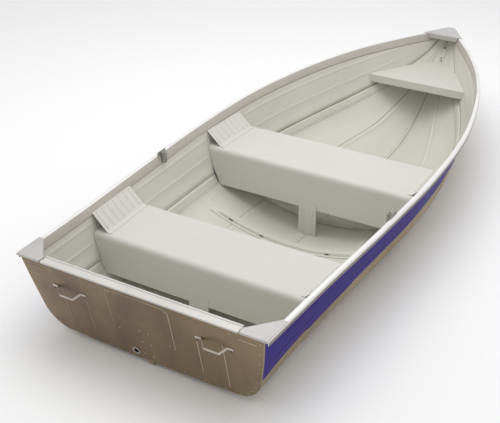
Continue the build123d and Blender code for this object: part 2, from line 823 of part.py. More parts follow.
# Oarlock sockets on the rails' inner legs
for side, side_name in ((1, "port"), (-1, "starboard")):
    x = socket_at - half_length
    reach = socket_plate_length / 2
    fore, aft = (rail_corners(station(row_at(x + step))) for step in (reach, -reach))
    near = rail_corners(station(row_at(x)))
    face = Vector(x, side * (near["groove"][0] - near["wall"] - fit), near["groove"][1])
    along = Vector(2 * reach, side * (fore["groove"][0] - aft["groove"][0]), 0).normalized()
    down = Vector(0, -side * math.cos(near["lean"]), -math.sin(near["lean"]))
    socket_plane = Plane(origin=face, x_dir=along, z_dir=along.cross(down) * side)
    bore_y = face.Y - side * (socket_outer / 2 + socket_plate_gauge)
    bore_top = station(row_at(x))["sheer"] + socket_rise
    bore_foot = bore_top - socket_drop - socket_rise
    with BuildPart() as socket:
        with BuildSketch(socket_plane.offset(-socket_plate_gauge)):
            with Locations((0, -side * socket_drop / 2)):
                RectangleRounded(socket_plate_length, socket_drop, socket_plate_round)
        extrude(amount=3 * socket_plate_gauge)
        with BuildSketch(Plane.XY.offset(bore_foot)):
            with Locations((x, bore_y)):
                Circle(socket_outer / 2)
            with Locations((x, bore_y + side * socket_outer / 2)):
                Rectangle(socket_web, socket_outer)
        extrude(amount=socket_drop)
        with BuildSketch(Plane.XY.offset(bore_foot)):
            with Locations((x, bore_y)):
                Circle(socket_outer / 2)
        extrude(amount=bore_top - bore_foot)
        add(cabin.part, mode=Mode.INTERSECT)
        with BuildSketch(Plane.XY.offset(bore_foot)):
            with Locations((x, bore_y)):
                Circle(socket_bore / 2)
        extrude(amount=bore_top - bore_foot, mode=Mode.SUBTRACT)
    save(socket.part, f"oarlock_socket_{side_name}")

# Bow plate on the rails, with a flange down its aft edge
plate_aft = half_length - bow_plate_length
aft_rail = station(row_at(plate_aft))
tip_rail = STATIONS[-1]
bow_slope = (tip_rail["sheer"] - aft_rail["sheer"]) / (tip_rail["x"] - plate_aft)
bow_plane = Plane(origin=(plate_aft, 0, aft_rail["sheer"] + fit), x_dir=(1, 0, bow_slope),
                  z_dir=(-bow_slope, 0, 1))
with BuildPart() as bow_plate:
    with BuildSketch(bow_plane):
        half_aft = aft_rail["rail"] + bow_plate_gauge
        tip_run = half_length - plate_aft
        Polygon((0, half_aft), (tip_run, bow_nose), (tip_run, -bow_nose), (0, -half_aft), align=None)
        fillet(vertices().group_by(Axis.X)[-1], radius=bow_nose_round)
    extrude(amount=bow_plate_gauge)
    with BuildSketch(Plane.YZ.offset(plate_aft)):
        inner = aft_rail["rail"] - rail_overhang - 3 * rail_wall
        flange_top = aft_rail["sheer"] + fit + bow_plate_gauge / 2
        foot = inner - bow_plate_mitre
        Polygon((-inner, flange_top), (inner, flange_top), (foot, flange_top - bow_plate_flange),
                (-foot, flange_top - bow_plate_flange), align=None)
    extrude(amount=bow_plate_gauge)
save(bow_plate.part, "bow_plate")

# Bow eye: a cast eye on a base plate, square to the stem band
low_end, high_end = band_line[4], band_line[5]
eye_middle = ((low_end[0] + high_end[0]) / 2, 0, (low_end[1] + high_end[1]) / 2)
stem_way = Vector(high_end[0] - low_end[0], 0, high_end[1] - low_end[1]).normalized()
stem_out = Vector(stem_way.Z, 0, -stem_way.X)
eye_plane = Plane(origin=eye_middle, x_dir=stem_way, z_dir=stem_out)
eye_side = Plane(origin=eye_middle, x_dir=stem_way, z_dir=stem_way.cross(stem_out))
with BuildPart() as bow_eye:
    with BuildSketch(eye_plane.offset(fit / 2)):
        RectangleRounded(eye_base_length, eye_base_width, eye_base_round)
    extrude(amount=eye_base_gauge)
    with BuildSketch(eye_side):
        with Locations((0, fit / 2 + eye_base_gauge / 2)):
            Rectangle(eye_base_length - 2 * eye_rim, eye_base_gauge)
        with Locations((0, eye_reach - eye_hole / 2 - eye_rim)):
            Circle(eye_hole / 2 + eye_rim)
        make_hull()
        with Locations((0, eye_reach - eye_hole / 2 - eye_rim)):
            Circle(eye_hole / 2, mode=Mode.SUBTRACT)
    extrude(amount=eye_gauge / 2, both=True)
save(bow_eye.part, "bow_eye")

# Backing strap inside the stem, across the angle between the two sides
strap_line = []
for run in (strap_aft, (strap_aft + strap_fore) / 2, strap_fore):
    place = station(lofted_row(half_length - run))
    seat = crossing(place, hull_gauge + fit, strap_width / 2 + fit, 0)
    strap_line.append((half_length - run, seat[1] + fit))
(start_x, start_z), _, (end_x, end_z) = strap_line
strap_way = Vector(end_x - start_x, end_z - start_z).normalized()
raised = [(x - strap_gauge * strap_way.Y, z + strap_gauge * strap_way.X) for x, z in strap_line]
with BuildPart() as strap:
    with BuildSketch(Plane.XZ.offset(-strap_width / 2)):
        Polygon(*strap_line, *raised[::-1], align=None)
    extrude(amount=strap_width)
save(strap.part, "stem_strap")
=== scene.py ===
# %% [markdown]
# # A small open row boat in riveted sheet metal
#
# The boat is a shell of pressed aluminium: two bottom sheets that meet on the keel line,
# two side sheets, a flat raked transom and a rail all round. Benches, ribs and posts are
# folded from the same sheet. The CAD model gives every size and place. This file adds what
# sheet metal shows: smooth compound curves, pressed beads, rolled edges, rivets, paint.
#
# The sizes are in metres: x runs forward, y to port and z up from the still water.

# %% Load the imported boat
import math

import bmesh
import bpy
import numpy as np
from mathutils import Matrix, Vector


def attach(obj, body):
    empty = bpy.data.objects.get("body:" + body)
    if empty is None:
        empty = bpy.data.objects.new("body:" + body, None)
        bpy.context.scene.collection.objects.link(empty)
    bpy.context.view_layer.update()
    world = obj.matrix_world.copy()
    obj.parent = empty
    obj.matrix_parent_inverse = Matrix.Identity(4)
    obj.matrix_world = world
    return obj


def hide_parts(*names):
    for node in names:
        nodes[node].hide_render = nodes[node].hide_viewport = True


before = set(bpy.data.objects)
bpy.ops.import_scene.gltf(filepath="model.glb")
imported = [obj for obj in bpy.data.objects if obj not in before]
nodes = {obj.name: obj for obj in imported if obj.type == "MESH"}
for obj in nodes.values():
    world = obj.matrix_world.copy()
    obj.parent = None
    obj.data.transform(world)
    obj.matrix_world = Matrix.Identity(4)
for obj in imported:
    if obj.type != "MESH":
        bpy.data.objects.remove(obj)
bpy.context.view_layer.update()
print(len(nodes), "nodes in the packed boat")

# %% [markdown]
# ## The hull's table of offsets
#
# A boat builder draws a hull as a few sections and reads their corners into a table: keel,
# bilge, chine and rail at a dozen places along the boat. Between them a batten is bent
# through the points. A subdivision cage would give a soft hull too, but not this one: the
# benches and ribs of the CAD model lie against these exact sections. So the table is
# repeated here, and the batten is a cubic through each pair of rows that takes its slope
# from the neighbouring rows.

# %% Sizes and offsets
LENGTH = 3.660
HALF_LENGTH = LENGTH / 2
HALF_BEAM = 1.375 / 2
FOOT_Z = 0.030
TRANSOM_HEIGHT = 0.396
SHEER_Z = FOOT_Z + TRANSOM_HEIGHT
KEEL_DEPTH = 0.113
STEM_RISE = 0.28535 * TRANSOM_HEIGHT
BOW_LIFT = 0.076
RAKE = math.radians(12.9)
HULL_GAUGE = 0.002
TRANSOM_GAUGE = 0.003
FIT = 0.0003
OVERHANG = 0.018
RAIL_WALL = 0.003
RAIL_LIP = 0.027
RAIL_LEG = 0.046
BOW_END = 0.9918

OFFSETS = np.array([
    # at, keel, low_y, low_z, high_y, high_z, rail, sheer, bow_1, bow_2, bow_3
    (-0.0055, -0.070, 0.662, 0.012, 0.812, 0.315, 0.9050, 0.000, 0.0020, 0.036, 0.004),
    (0.1230, 0.270, 0.680, 0.018, 0.817, 0.325, 0.9300, 0.029, 0.0150, 0.026, 0.004),
    (0.2730, 0.610, 0.708, 0.030, 0.843, 0.308, 0.9740, 0.086, 0.0285, 0.022, 0.004),
    (0.4235, 0.930, 0.727, 0.038, 0.868, 0.287, 1.0000, 0.202, 0.0440, 0.021, 0.004),
    (0.5740, 1.000, 0.687, 0.034, 0.822, 0.310, 0.9600, 0.360, 0.0430, 0.020, 0.004),
    (0.7105, 0.973, 0.548, 0.045, 0.681, 0.345, 0.8150, 0.543, 0.0310, 0.017, 0.004),
    (0.7925, 0.735, 0.395, 0.105, 0.538, 0.418, 0.6680, 0.670, 0.0180, 0.012, 0.003),
    (0.8470, 0.090, 0.280, 0.265, 0.410, 0.520, 0.5360, 0.759, 0.0100, 0.008, 0.003),
    (0.9016, -1.090, 0.165, 0.485, 0.265, 0.655, 0.3700, 0.849, 0.0050, 0.005, 0.003),
    (0.9508, -2.180, 0.080, 0.705, 0.140, 0.845, 0.2020, 0.925, 0.0020, 0.003, 0.003),
    (0.9781, -3.190, 0.035, 0.975, 0.065, 1.050, 0.1120, 0.968, 0.0010, 0.002, 0.002),
    (0.9918, -3.720, 0.014, 1.078, 0.028, 1.108, 0.0640, 0.988, 0.0006, 0.001, 0.001),
])
PLACES = OFFSETS[:, 0]
_before = np.maximum(np.arange(len(PLACES)) - 1, 0)
_after = np.minimum(np.arange(len(PLACES)) + 1, len(PLACES) - 1)
SLOPES = (OFFSETS[_after] - OFFSETS[_before]) / (PLACES[_after] - PLACES[_before])[:, None]
print("table of", len(PLACES), "sections")


# %% Sections at any place along the boat
def offsets_at(x):
    """The table blended to the places x.

    Between two rows, value = the cubic with the rows' values and slopes at its ends.
    """
    at = (np.asarray(x, float) + HALF_LENGTH) / LENGTH
    i = np.clip(np.searchsorted(PLACES, at, side="right") - 1, 0, len(PLACES) - 2)
    span = (PLACES[i + 1] - PLACES[i])[..., None]
    t = (at[..., None] - PLACES[i][..., None]) / span
    row = (2 * t**3 - 3 * t**2 + 1) * OFFSETS[i] + (t**3 - 2 * t**2 + t) * span * SLOPES[i]
    row = row + (3 * t**2 - 2 * t**3) * OFFSETS[i + 1] + (t**3 - t**2) * span * SLOPES[i + 1]
    return np.moveaxis(row, -1, 0)


def arc_between(start, end, bow, share):
    """Points and tangent angles on a circular arc that bows outboard of its chord.

    Half the arc's turn is twice the arctangent of 2 bow / chord. At a share of the arc the
    point lies at chord * sin(share * half turn) / sin(half turn) from the start.
    """
    step = end - start
    chord = np.hypot(step[..., 0], step[..., 1])
    angle = np.arctan2(step[..., 1], step[..., 0])
    half = np.maximum(2 * np.arctan(2 * bow / chord), 1e-6)
    reach = chord * np.sin(half * share) / np.sin(half)
    way = angle - half + half * share
    point = start + reach[..., None] * np.stack([np.cos(way), np.sin(way)], -1)
    return point, angle - half + 2 * half * share


def moved_in(point, angle, distance):
    """A section point moved inboard, square to a tangent of that angle."""
    return point + np.stack([-distance * np.sin(angle), distance * np.cos(angle)], -1)


def section(x, inset):
    """Corners (keel, bilge, chine, top) and arc bows of the skin moved inboard by inset."""
    _, keel, low_y, low_z, high_y, high_z, rail, sheer, *bows = offsets_at(x)
    keel_z = FOOT_Z - keel * np.where(keel > 0, KEEL_DEPTH, STEM_RISE)
    corner = [
        np.stack([0 * keel, keel_z], -1),
        np.stack([low_y * HALF_BEAM, FOOT_Z + low_z * TRANSOM_HEIGHT], -1),
        np.stack([high_y * HALF_BEAM, FOOT_Z + high_z * TRANSOM_HEIGHT], -1),
        np.stack([rail * HALF_BEAM - OVERHANG, SHEER_Z + sheer * BOW_LIFT - RAIL_WALL - FIT], -1),
    ]
    bows = [bow * HALF_BEAM for bow in bows]
    starts = [arc_between(corner[k], corner[k + 1], bows[k], np.zeros_like(keel))[1] for k in range(3)]
    ends = [arc_between(corner[k], corner[k + 1], bows[k], np.ones_like(keel))[1] for k in range(3)]
    chords = [np.linalg.norm(corner[k + 1] - corner[k], axis=-1) for k in range(3)]
    moved = [
        corner[0] + np.stack([0 * keel, inset / np.cos(starts[0])], -1),
        moved_in(corner[1], (ends[0] + starts[1]) / 2, inset),
        moved_in(corner[2], (ends[1] + starts[2]) / 2, inset),
        corner[3] - np.stack([inset / np.sin(ends[2]), 0 * keel], -1),
    ]
    bows = [bows[k] * np.linalg.norm(moved[k + 1] - moved[k], axis=-1) / chords[k] for k in range(3)]
    return moved, bows


def rail_edge(x):
    """The rail's outer edge and top height at the places x."""
    row = offsets_at(x)
    return np.minimum(row[6] * HALF_BEAM, HALF_BEAM), SHEER_Z + row[7] * BOW_LIFT


def skin_points(x, part, share, inset):
    """(y, z) and tangent angle on one arc: 0 keel to bilge, 1 bilge to chine, 2 chine to top."""
    corners, bows = section(x, inset)
    return arc_between(corners[part], corners[part + 1], bows[part], share)


FOOT_X = -HALF_LENGTH + TRANSOM_HEIGHT * math.tan(RAKE)


def transom_x(z, depth=0.0):
    """Where the plane at that depth inside the transom's outer face is, at the height z."""
    return FOOT_X - (z - FOOT_Z) * math.tan(RAKE) + depth / math.cos(RAKE)


middle_rail, middle_sheer = rail_edge(np.array(0.0))
print("at mid length the rail is", round(2 * float(middle_rail), 3), "m wide and",
      round(float(middle_sheer), 3), "m over the water")

# %% [markdown]
# ## From arrays to pieces
#
# Every new piece is a grid of points, worked out as one array and joined into faces by
# index arithmetic. A sheet gets its gauge from Blender's Solidify modifier. The modifiers
# are then baked into the mesh, so that what is drawn is also what is exported, and edges
# that turn sharply are marked so that smooth shading stops there.

# %% Mesh helpers
SHARP = math.radians(38)


def grid_faces(rows, columns, wrap=False, flip=False):
    """Four-cornered faces over a grid of rows x columns points, wrapped across columns or not."""
    i = np.arange(rows - 1)[:, None]
    j = np.arange(columns if wrap else columns - 1)[None, :]
    following = (j + 1) % columns
    corners = [i * columns + j, i * columns + following, (i + 1) * columns + following,
               (i + 1) * columns + j]
    if flip:
        corners = corners[::-1]
    return np.stack([np.broadcast_to(c, (rows - 1, j.size)) for c in corners], -1).reshape(-1, 4)


def mesh_from(name, points, faces, uv=None):
    """A mesh from an array of points and lists of faces, with a UV map if uv is given."""
    mesh = bpy.data.meshes.new(name)
    mesh.from_pydata(np.reshape(points, (-1, 3)).tolist(), [], [list(f) for f in faces])
    if uv is not None:
        layer = mesh.uv_layers.new(name="sheet")
        corner = np.zeros(len(mesh.loops), int)
        mesh.loops.foreach_get("vertex_index", corner)
        layer.data.foreach_set("uv", np.reshape(uv, (-1, 2))[corner].astype(np.float32).ravel())
    mesh.update()
    return mesh


def settle(piece, sharp=SHARP, weighted=False):
    """Bake the piece's modifiers into its mesh and shade it smooth up to the sharp angle."""
    if weighted:
        piece.modifiers.new("even shading", "WEIGHTED_NORMAL").keep_sharp = True
    piece.data.polygons.foreach_set("use_smooth", np.ones(len(piece.data.polygons), bool))
    bpy.context.view_layer.update()
    baked = bpy.data.meshes.new_from_object(piece.evaluated_get(bpy.context.evaluated_depsgraph_get()))
    piece.modifiers.clear()
    piece.data = baked
    if not weighted:
        baked.set_sharp_from_angle(angle=sharp)
    return piece


def add_piece(name, mesh, materials, replaces=()):
    """Put a mesh into the scene as a piece that rides on the boat."""
    piece = bpy.data.objects.new(name, mesh)
    bpy.context.scene.collection.objects.link(piece)
    mesh.materials.clear()
    for material in materials:
        mesh.materials.append(material)
    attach(piece, "root")
    for node in replaces:
        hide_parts(node)
    return piece


def thicken(piece, gauge, inside=0):
    """Give a sheet its gauge on the side its faces look away from."""
    wall = piece.modifiers.new("gauge", "SOLIDIFY")
    wall.thickness = gauge
    wall.offset = -1.0
    wall.use_even_offset = True
    wall.material_offset = inside
    return piece


def tube_faces(rows, columns, flip=False):
    """Faces of a wrapped grid with a flat cap at either end."""
    side = grid_faces(rows, columns, wrap=True, flip=flip).tolist()
    first = list(range(columns))
    last = list(range((rows - 1) * columns, rows * columns))
    return side + ([first, last[::-1]] if flip else [first[::-1], last])


def ease(t):
    """0 below 0, 1 above 1, and a smooth rise between them."""
    t = np.clip(t, 0.0, 1.0)
    return t * t * (3 - 2 * t)


def bead(distance, half_width):
    """Height of a pressed bead of unit height: a cosine hump as wide as its two half widths."""
    return 0.5 + 0.5 * np.cos(np.pi * np.clip(distance / half_width, -1.0, 1.0))


# %% [markdown]
# ## Shader maths as Python
#
# A node tree is easier to read as an expression. `Socket` wraps the output of a node, so
# `1 - mask * 0.3` adds the Math nodes by itself, and `Finish.node` adds any other node.

# %% A small socket class
class Socket:
    """A value in a node tree, with Python's operators."""

    def __init__(self, finish, link):
        self.finish = finish
        self.link = link

    def _maths(self, operation, *values):
        return self.finish.node("ShaderNodeMath", {"operation": operation}, values)

    def __add__(self, other):
        return self._maths("ADD", self, other)

    def __sub__(self, other):
        return self._maths("SUBTRACT", self, other)

    def __mul__(self, other):
        return self._maths("MULTIPLY", self, other)

    __radd__ = __add__
    __rmul__ = __mul__

    def __rsub__(self, other):
        return self._maths("SUBTRACT", other, self)

    def __abs__(self):
        return self._maths("ABSOLUTE", self)

    def over(self, edge, softness):
        """0 below the edge, 1 above it, over a soft width."""
        return self.finish.node("ShaderNodeMapRange", {"interpolation_type": "SMOOTHSTEP"},
                                {"Value": self, "From Min": edge - softness,
                                 "From Max": edge + softness})

    def at_most(self, other):
        return self._maths("MINIMUM", self, other)


class Finish:
    """A material with a Principled shader, built up by expressions."""

    def __init__(self, name, metallic=0.0, coat=0.0, specular=0.5):
        self.material = bpy.data.materials.new(name)
        self.material.use_nodes = True
        self.tree = self.material.node_tree
        self.shader = self.tree.nodes["Principled BSDF"]
        self.shader.inputs["Metallic"].default_value = metallic
        self.shader.inputs["Coat Weight"].default_value = coat
        self.shader.inputs["Specular IOR Level"].default_value = specular
        place = self.node("ShaderNodeTexCoord", output="Object")
        self.place = place
        apart = self.node("ShaderNodeSeparateXYZ", values=[place])
        self.x = Socket(self, apart.link.node.outputs["X"])
        self.y = Socket(self, apart.link.node.outputs["Y"])
        self.z = Socket(self, apart.link.node.outputs["Z"])

    def sheet_place(self):
        """The two numbers of the piece's own UV map: distances over the sheet, in metres."""
        place = self.node("ShaderNodeUVMap", {"uv_map": "sheet"})
        apart = self.node("ShaderNodeSeparateXYZ", values=[place])
        return apart, Socket(self, apart.link.node.outputs["Y"])

    def node(self, kind, settings=None, values=(), output=0):
        """Add a node: its settings first, then the values or links of its sockets."""
        node = self.tree.nodes.new(kind)
        for key, value in (settings or {}).items():
            setattr(node, key, value)
        pairs = values.items() if isinstance(values, dict) else enumerate(values)
        for key, value in pairs:
            if isinstance(value, Socket):
                self.tree.links.new(value.link, node.inputs[key])
            elif value is not None:
                node.inputs[key].default_value = value
        return Socket(self, node.outputs[output])

    def scaled(self, x, y, z):
        """Object coordinates stretched along each axis, for brushed or drawn patterns."""
        return self.node("ShaderNodeMapping", values={"Vector": self.place, "Scale": (x, y, z)})

    def noise(self, scale, detail=3.0, vector=None, roughness=0.5):
        return self.node("ShaderNodeTexNoise", values={
            "Vector": vector or self.place, "Scale": scale, "Detail": detail,
            "Roughness": roughness}, output="Fac")

    def blend(self, share, first, second):
        """Mix two colours, given as socket or as (r, g, b)."""
        mix = self.tree.nodes.new("ShaderNodeMix")
        mix.data_type = "RGBA"
        colour = [s for s in mix.inputs if s.type == "RGBA"]
        for socket, value in ((mix.inputs["Factor"], share), (colour[0], first), (colour[1], second)):
            if isinstance(value, Socket):
                self.tree.links.new(value.link, socket)
            elif isinstance(value, tuple):
                socket.default_value = (*value, 1.0)
            else:
                socket.default_value = value
        return Socket(self, [s for s in mix.outputs if s.type == "RGBA"][0])

    def feed(self, name, value):
        if isinstance(value, Socket):
            self.tree.links.new(value.link, self.shader.inputs[name])
        elif isinstance(value, tuple):
            self.shader.inputs[name].default_value = (*value, 1.0)
        else:
            self.shader.inputs[name].default_value = value

    def bump(self, height, distance, strength=1.0):
        bump = self.node("ShaderNodeBump", values={"Height": height, "Strength": strength,
                                                   "Distance": distance}, output="Normal")
        self.feed("Normal", bump)


# %% [markdown]
# ## The finishes
#
# The inside is sprayed with a warm grey paint of a satin gloss. Sprayed sheet is never one
# flat tone: it has a fine orange-peel skin and faint clouds where the coat is thinner, and
# its tone grows darker towards the bottom. Dark lines along each seam, each step and under
# the rail's leg are painted shade, and the benches take a darker copy of the paint as
# painted shade. The outside of the bottom and the transom are bare rolled sheet, dull with
# handling stains and a drawn grain; their brownish tone is a painted reflection of brown
# ground. The rail is extruded alloy, paler and cleaner. The side panel is a deep blue paint
# between hard edges.

# %% Paint inside the boat
def sprayed_paint(name, colour, dirt, shaded_seams=()):
    """Satin paint: clouded colour, dull spots, painted shade along each seam and an orange-peel bump.

    A seam is a dark line of painted shade where the first or second number of the sheet's UV
    map is near a distance: 1 at the distance, 0 half a width away from it.
    """
    paint = Finish(name, specular=0.45)
    clouds = paint.noise(2.3, 4.0)
    specks = paint.noise(60.0, 2.0).over(0.66, 0.05)
    low = 1 - paint.z.over(0.02, 0.16)
    shade = (clouds.over(0.52, 0.22) * 0.35 + low * 0.30 + specks * 0.12) * dirt
    if shaded_seams:
        both = paint.sheet_place()
        # Painted shade: the seam lines are broken by noise, stronger forward, and on the first number
        # stronger to port than to starboard.
        broken = paint.noise(9.0, 3.0).over(0.40, 0.25) * 0.4 + paint.x.over(0.05, 0.45) * 0.4 + 0.2
        lit = paint.y.over(-0.02, 0.03) * 0.65 + 0.35
        for number, distance, half_width, strength in shaded_seams:
            near = 1 - abs(both[number] - distance).over(half_width / 2, half_width / 2)
            shade = shade + near * broken * (lit * strength if number == 0 else strength)
    dark = tuple(c * s for c, s in zip(colour, (0.36, 0.35, 0.29)))
    paint.feed("Base Color", paint.blend(shade.at_most(1.0), colour, dark))
    paint.feed("Roughness", clouds * 0.16 + 0.34)
    peel = paint.noise(420.0, 2.0)
    waves = paint.noise(7.0, 2.0)
    paint.bump(peel * 0.10 + waves, 0.0011)
    return paint.material


INSIDE_TONE = (0.690, 0.680, 0.615)
LEG_SEAM = RAIL_LEG + RAIL_WALL + 0.0012
KEEL_MARK = 3.0
hull_paint = sprayed_paint("hull_paint_sprayed", INSIDE_TONE, dirt=0.30)
# Painted shade lines on the floor: on both sides of the pressed bead, under the chine's step, along the rivet
# rows below it and down the keel line.
floor_paint = sprayed_paint("bottom_paint_sprayed", INSIDE_TONE, 0.30,
                            shaded_seams=[(0, 0.0185, 0.0050, 0.95), (0, -0.034, 0.0030, 0.18),
                                   (1, 0.0, 0.0060, 1.3), (1, 0.050, 0.012, 0.16),
                                   (1, KEEL_MARK, 0.0060, 1.1)])
# Painted shade lines on the sides: under the rail's leg, along the chine and in a band just above it.
side_paint = sprayed_paint("side_paint_sprayed", INSIDE_TONE, 0.27,
                           shaded_seams=[(1, LEG_SEAM, 0.0040, 1.2), (0, 0.0, 0.0075, 1.6), (0, 0.012, 0.012, 0.35)])
# The benches' paint is a darker copy of the inside tone: painted shade that keeps the lit bench tops from
# outshining the floor.
seat_paint = sprayed_paint("seat_paint_sprayed_shaded", (0.642, 0.630, 0.582), dirt=0.13)
print("paints:", hull_paint.name, floor_paint.name, side_paint.name, seat_paint.name)


# %% Bare sheet outside
# Golden tone of a painted reflection, blended into the transom toward starboard.
GOLDEN_REFLECTION = (0.400, 0.295, 0.160)


def rolled_sheet(name, colour, stain, roughness=0.40, metallic=0.75, grain=(1.2, 60.0, 60.0), beads=False):
    """Bare rolled sheet: drawn grain, cloudy stains and fine scratches.

    With beads, the first number of the UV map is the distance from a bead's middle: the
    crest gets a painted highlight and its foot painted shade, both weaker to port, and a
    golden painted reflection grows toward starboard.
    """
    sheet = Finish(name, metallic=metallic, specular=0.5)
    drawn = sheet.noise(9.0, 3.0, sheet.scaled(*grain))
    clouds = sheet.noise(3.1, 5.0, roughness=0.6)
    streaks = sheet.noise(2.0, 3.0, sheet.scaled(6.0, 6.0, 1.0))
    share = clouds.over(0.50, 0.20) * 0.6 + streaks.over(0.55, 0.18) * 0.3 + drawn * 0.18
    tone = sheet.blend(share.at_most(1.0), colour, stain)
    if beads:
        aside = sheet.sheet_place()[0]
        # Painted highlight on each bead's crest and painted shade along its foot, both weaker to port.
        crest_highlight = (1 - aside.over(0.0018, 0.0018)) * (1 - sheet.y.over(0.0, 0.30) * 0.75)
        foot = (1 - abs(aside - 0.0062).over(0.0012, 0.0024)) * (1 - sheet.y.over(0.0, 0.30) * 0.5)
        tone = sheet.blend(foot * 0.40, tone, tuple(c * 0.40 for c in colour))
        tone = sheet.blend(crest_highlight * 0.85, tone, (0.74, 0.62, 0.50))
        # Painted reflection: the sheet turns more golden toward starboard.
        tone = sheet.blend((1 - sheet.y.over(-0.15, 0.45)) * 0.5, tone, sheet.blend(0.5, tone, GOLDEN_REFLECTION))
    sheet.feed("Base Color", tone)
    sheet.feed("Roughness", clouds * 0.22 + drawn * 0.12 + (roughness - 0.14))
    sheet.bump(drawn * 0.5 + sheet.noise(14.0, 3.0) * 0.8, 0.0008)
    return sheet.material


# The brownish tones of the bare sheet are a painted reflection of brown ground; the stains, clouds and grain
# are the sheet's own.
transom_sheet = rolled_sheet("transom_rolled_sheet", (0.305, 0.222, 0.138), (0.160, 0.122, 0.086),
                             roughness=0.34, metallic=0.80, grain=(60.0, 60.0, 1.5), beads=True)
bottom_sheet = rolled_sheet("bottom_rolled_sheet", (0.405, 0.320, 0.206), (0.285, 0.218, 0.136))
# The rail's lip is a dark taupe copy of the rail's alloy: painted shade on the face that turns down and
# outboard.
lip_painted_shade = rolled_sheet("rail_lip_painted_shade", (0.30, 0.255, 0.22), (0.22, 0.185, 0.16),
                         roughness=0.42, metallic=0.2, grain=(0.8, 90.0, 90.0))
rail_alloy = rolled_sheet("rail_drawn_alloy", (0.84, 0.835, 0.82), (0.74, 0.73, 0.71),
                          roughness=0.36, metallic=0.35, grain=(0.8, 90.0, 90.0))
plate_alloy = rolled_sheet("plate_satin_alloy", (0.545, 0.530, 0.518), (0.452, 0.437, 0.420),
                           roughness=0.40, metallic=0.30, grain=(40.0, 40.0, 40.0))
cap_alloy = rolled_sheet("cap_satin_alloy", (0.655, 0.640, 0.605), (0.570, 0.555, 0.525),
                         roughness=0.40, metallic=0.30, grain=(40.0, 1.5, 40.0))
leg_alloy = rolled_sheet("rail_leg_alloy", (0.61, 0.575, 0.52), (0.53, 0.50, 0.45),
                         roughness=0.42, metallic=0.15, grain=(0.8, 90.0, 90.0))
cast_alloy = rolled_sheet("cast_alloy", (0.74, 0.70, 0.64), (0.50, 0.46, 0.40),
                          roughness=0.30, metallic=0.7, grain=(30.0, 30.0, 30.0))
socket_alloy = rolled_sheet("socket_alloy", (0.42, 0.42, 0.38), (0.30, 0.30, 0.27),
                            roughness=0.45, metallic=0.5, grain=(30.0, 30.0, 30.0))
rivet_alloy = rolled_sheet("rivet_alloy", (0.56, 0.49, 0.40), (0.36, 0.30, 0.23),
                           roughness=0.35, metallic=0.6, grain=(50.0, 50.0, 50.0))
dark_steel = rolled_sheet("dark_fastener_steel", (0.075, 0.070, 0.060), (0.040, 0.036, 0.030),
                          roughness=0.5, metallic=0.3, grain=(50.0, 50.0, 50.0))
print("bare finishes:", transom_sheet.name, bottom_sheet.name, rail_alloy.name)


# %% Drain tube
def tube_with_shaded_bore(name):
    """Cast alloy outside the transom, painted shade in the bore.

    The bore begins where x + (z - foot) * tangent of the rake passes the foot's x.
    """
    tube = Finish(name, metallic=0.6, specular=0.5)
    depth = tube.x + (tube.z - FOOT_Z) * math.tan(RAKE) - FOOT_X
    cast = tube.blend(tube.noise(30.0, 3.0), (0.62, 0.58, 0.52), (0.46, 0.42, 0.37))
    tube.feed("Base Color", tube.blend(depth.over(-0.0010, 0.0008), cast, (0.030, 0.026, 0.020)))
    tube.feed("Roughness", tube.noise(12.0, 2.0) * 0.2 + 0.35)
    tube.bump(tube.noise(80.0, 2.0), 0.0003)
    return tube.material


drain_alloy = tube_with_shaded_bore("drain_tube_alloy")
print("drain:", drain_alloy.name)

# %% Blue panel on the side sheet
PANEL_LOW = 0.163
PANEL_RISE = 0.046
PANEL_AFT = -1.818
PANEL_FORE = 1.715


def side_panel(name):
    """Bare sheet with a painted panel above a line that rises to the bow.

    The panel is where z is over PANEL_LOW + PANEL_RISE * (x + half length).
    """
    side = Finish(name, specular=0.06)
    drawn = side.noise(9.0, 3.0, side.scaled(1.2, 60.0, 60.0))
    clouds = side.noise(3.1, 5.0, roughness=0.6)
    height = side.z - (side.x + HALF_LENGTH) * PANEL_RISE
    raked = side.x + (side.z - SHEER_Z) * math.tan(RAKE)
    panel = height.over(PANEL_LOW, 0.0006) * raked.over(PANEL_AFT, 0.0006) * (
        1 - side.x.over(PANEL_FORE, 0.0006))
    # Below the panel the bare sheet's brownish tone is a painted reflection of brown ground.
    bare = side.blend(clouds.over(0.5, 0.2) * 0.8 + drawn * 0.2, (0.430, 0.337, 0.215), (0.310, 0.236, 0.144))
    blue = side.blend(clouds.over(0.5, 0.25), (0.020, 0.009, 0.215), (0.034, 0.015, 0.197))
    side.feed("Base Color", side.blend(panel, bare, blue))
    side.feed("Metallic", (1 - panel) * 0.7)
    side.feed("Roughness", clouds * 0.14 + 0.33 + (1 - panel) * drawn * 0.1)
    side.bump(panel * 0.12 + (1 - panel) * drawn * 0.4 + side.noise(11.0, 2.0), 0.0008)
    return side.material


side_outside = side_panel("side_sheet_with_blue_panel")
print("panel from", PANEL_AFT, "to", PANEL_FORE)

# %% [markdown]
# ## Bottom sheets
#
# Each bottom sheet runs from the keel line over the bilge to the chine. It is stiffened by
# a pressed bead two thirds of the way out to the bilge and by a stepped chine, whose upper
# face catches the light inside the boat. Displacing a flat cage by a texture would leave the beads out
# of the exported shape, so they are part of the surface: the arc of each section, moved
# inboard by the height of the beads at that share of the arc.

# %% Surface of a skin
ROWS = 250


def row_spread(count):
    """Shares of the boat's length, a little closer together where the bow bends."""
    t = np.linspace(0.0, 1.0, count)
    return t + 0.20 * t * (1 - t)


def refined(low, high, count, centres, half_width, extra=13):
    """Evenly spread shares with extra ones around each bead."""
    shares = [np.linspace(low, high, count)]
    for centre in centres:
        shares.append(np.linspace(centre - half_width, centre + half_width, extra))
    return np.unique(np.round(np.clip(np.concatenate(shares), low, high), 5))


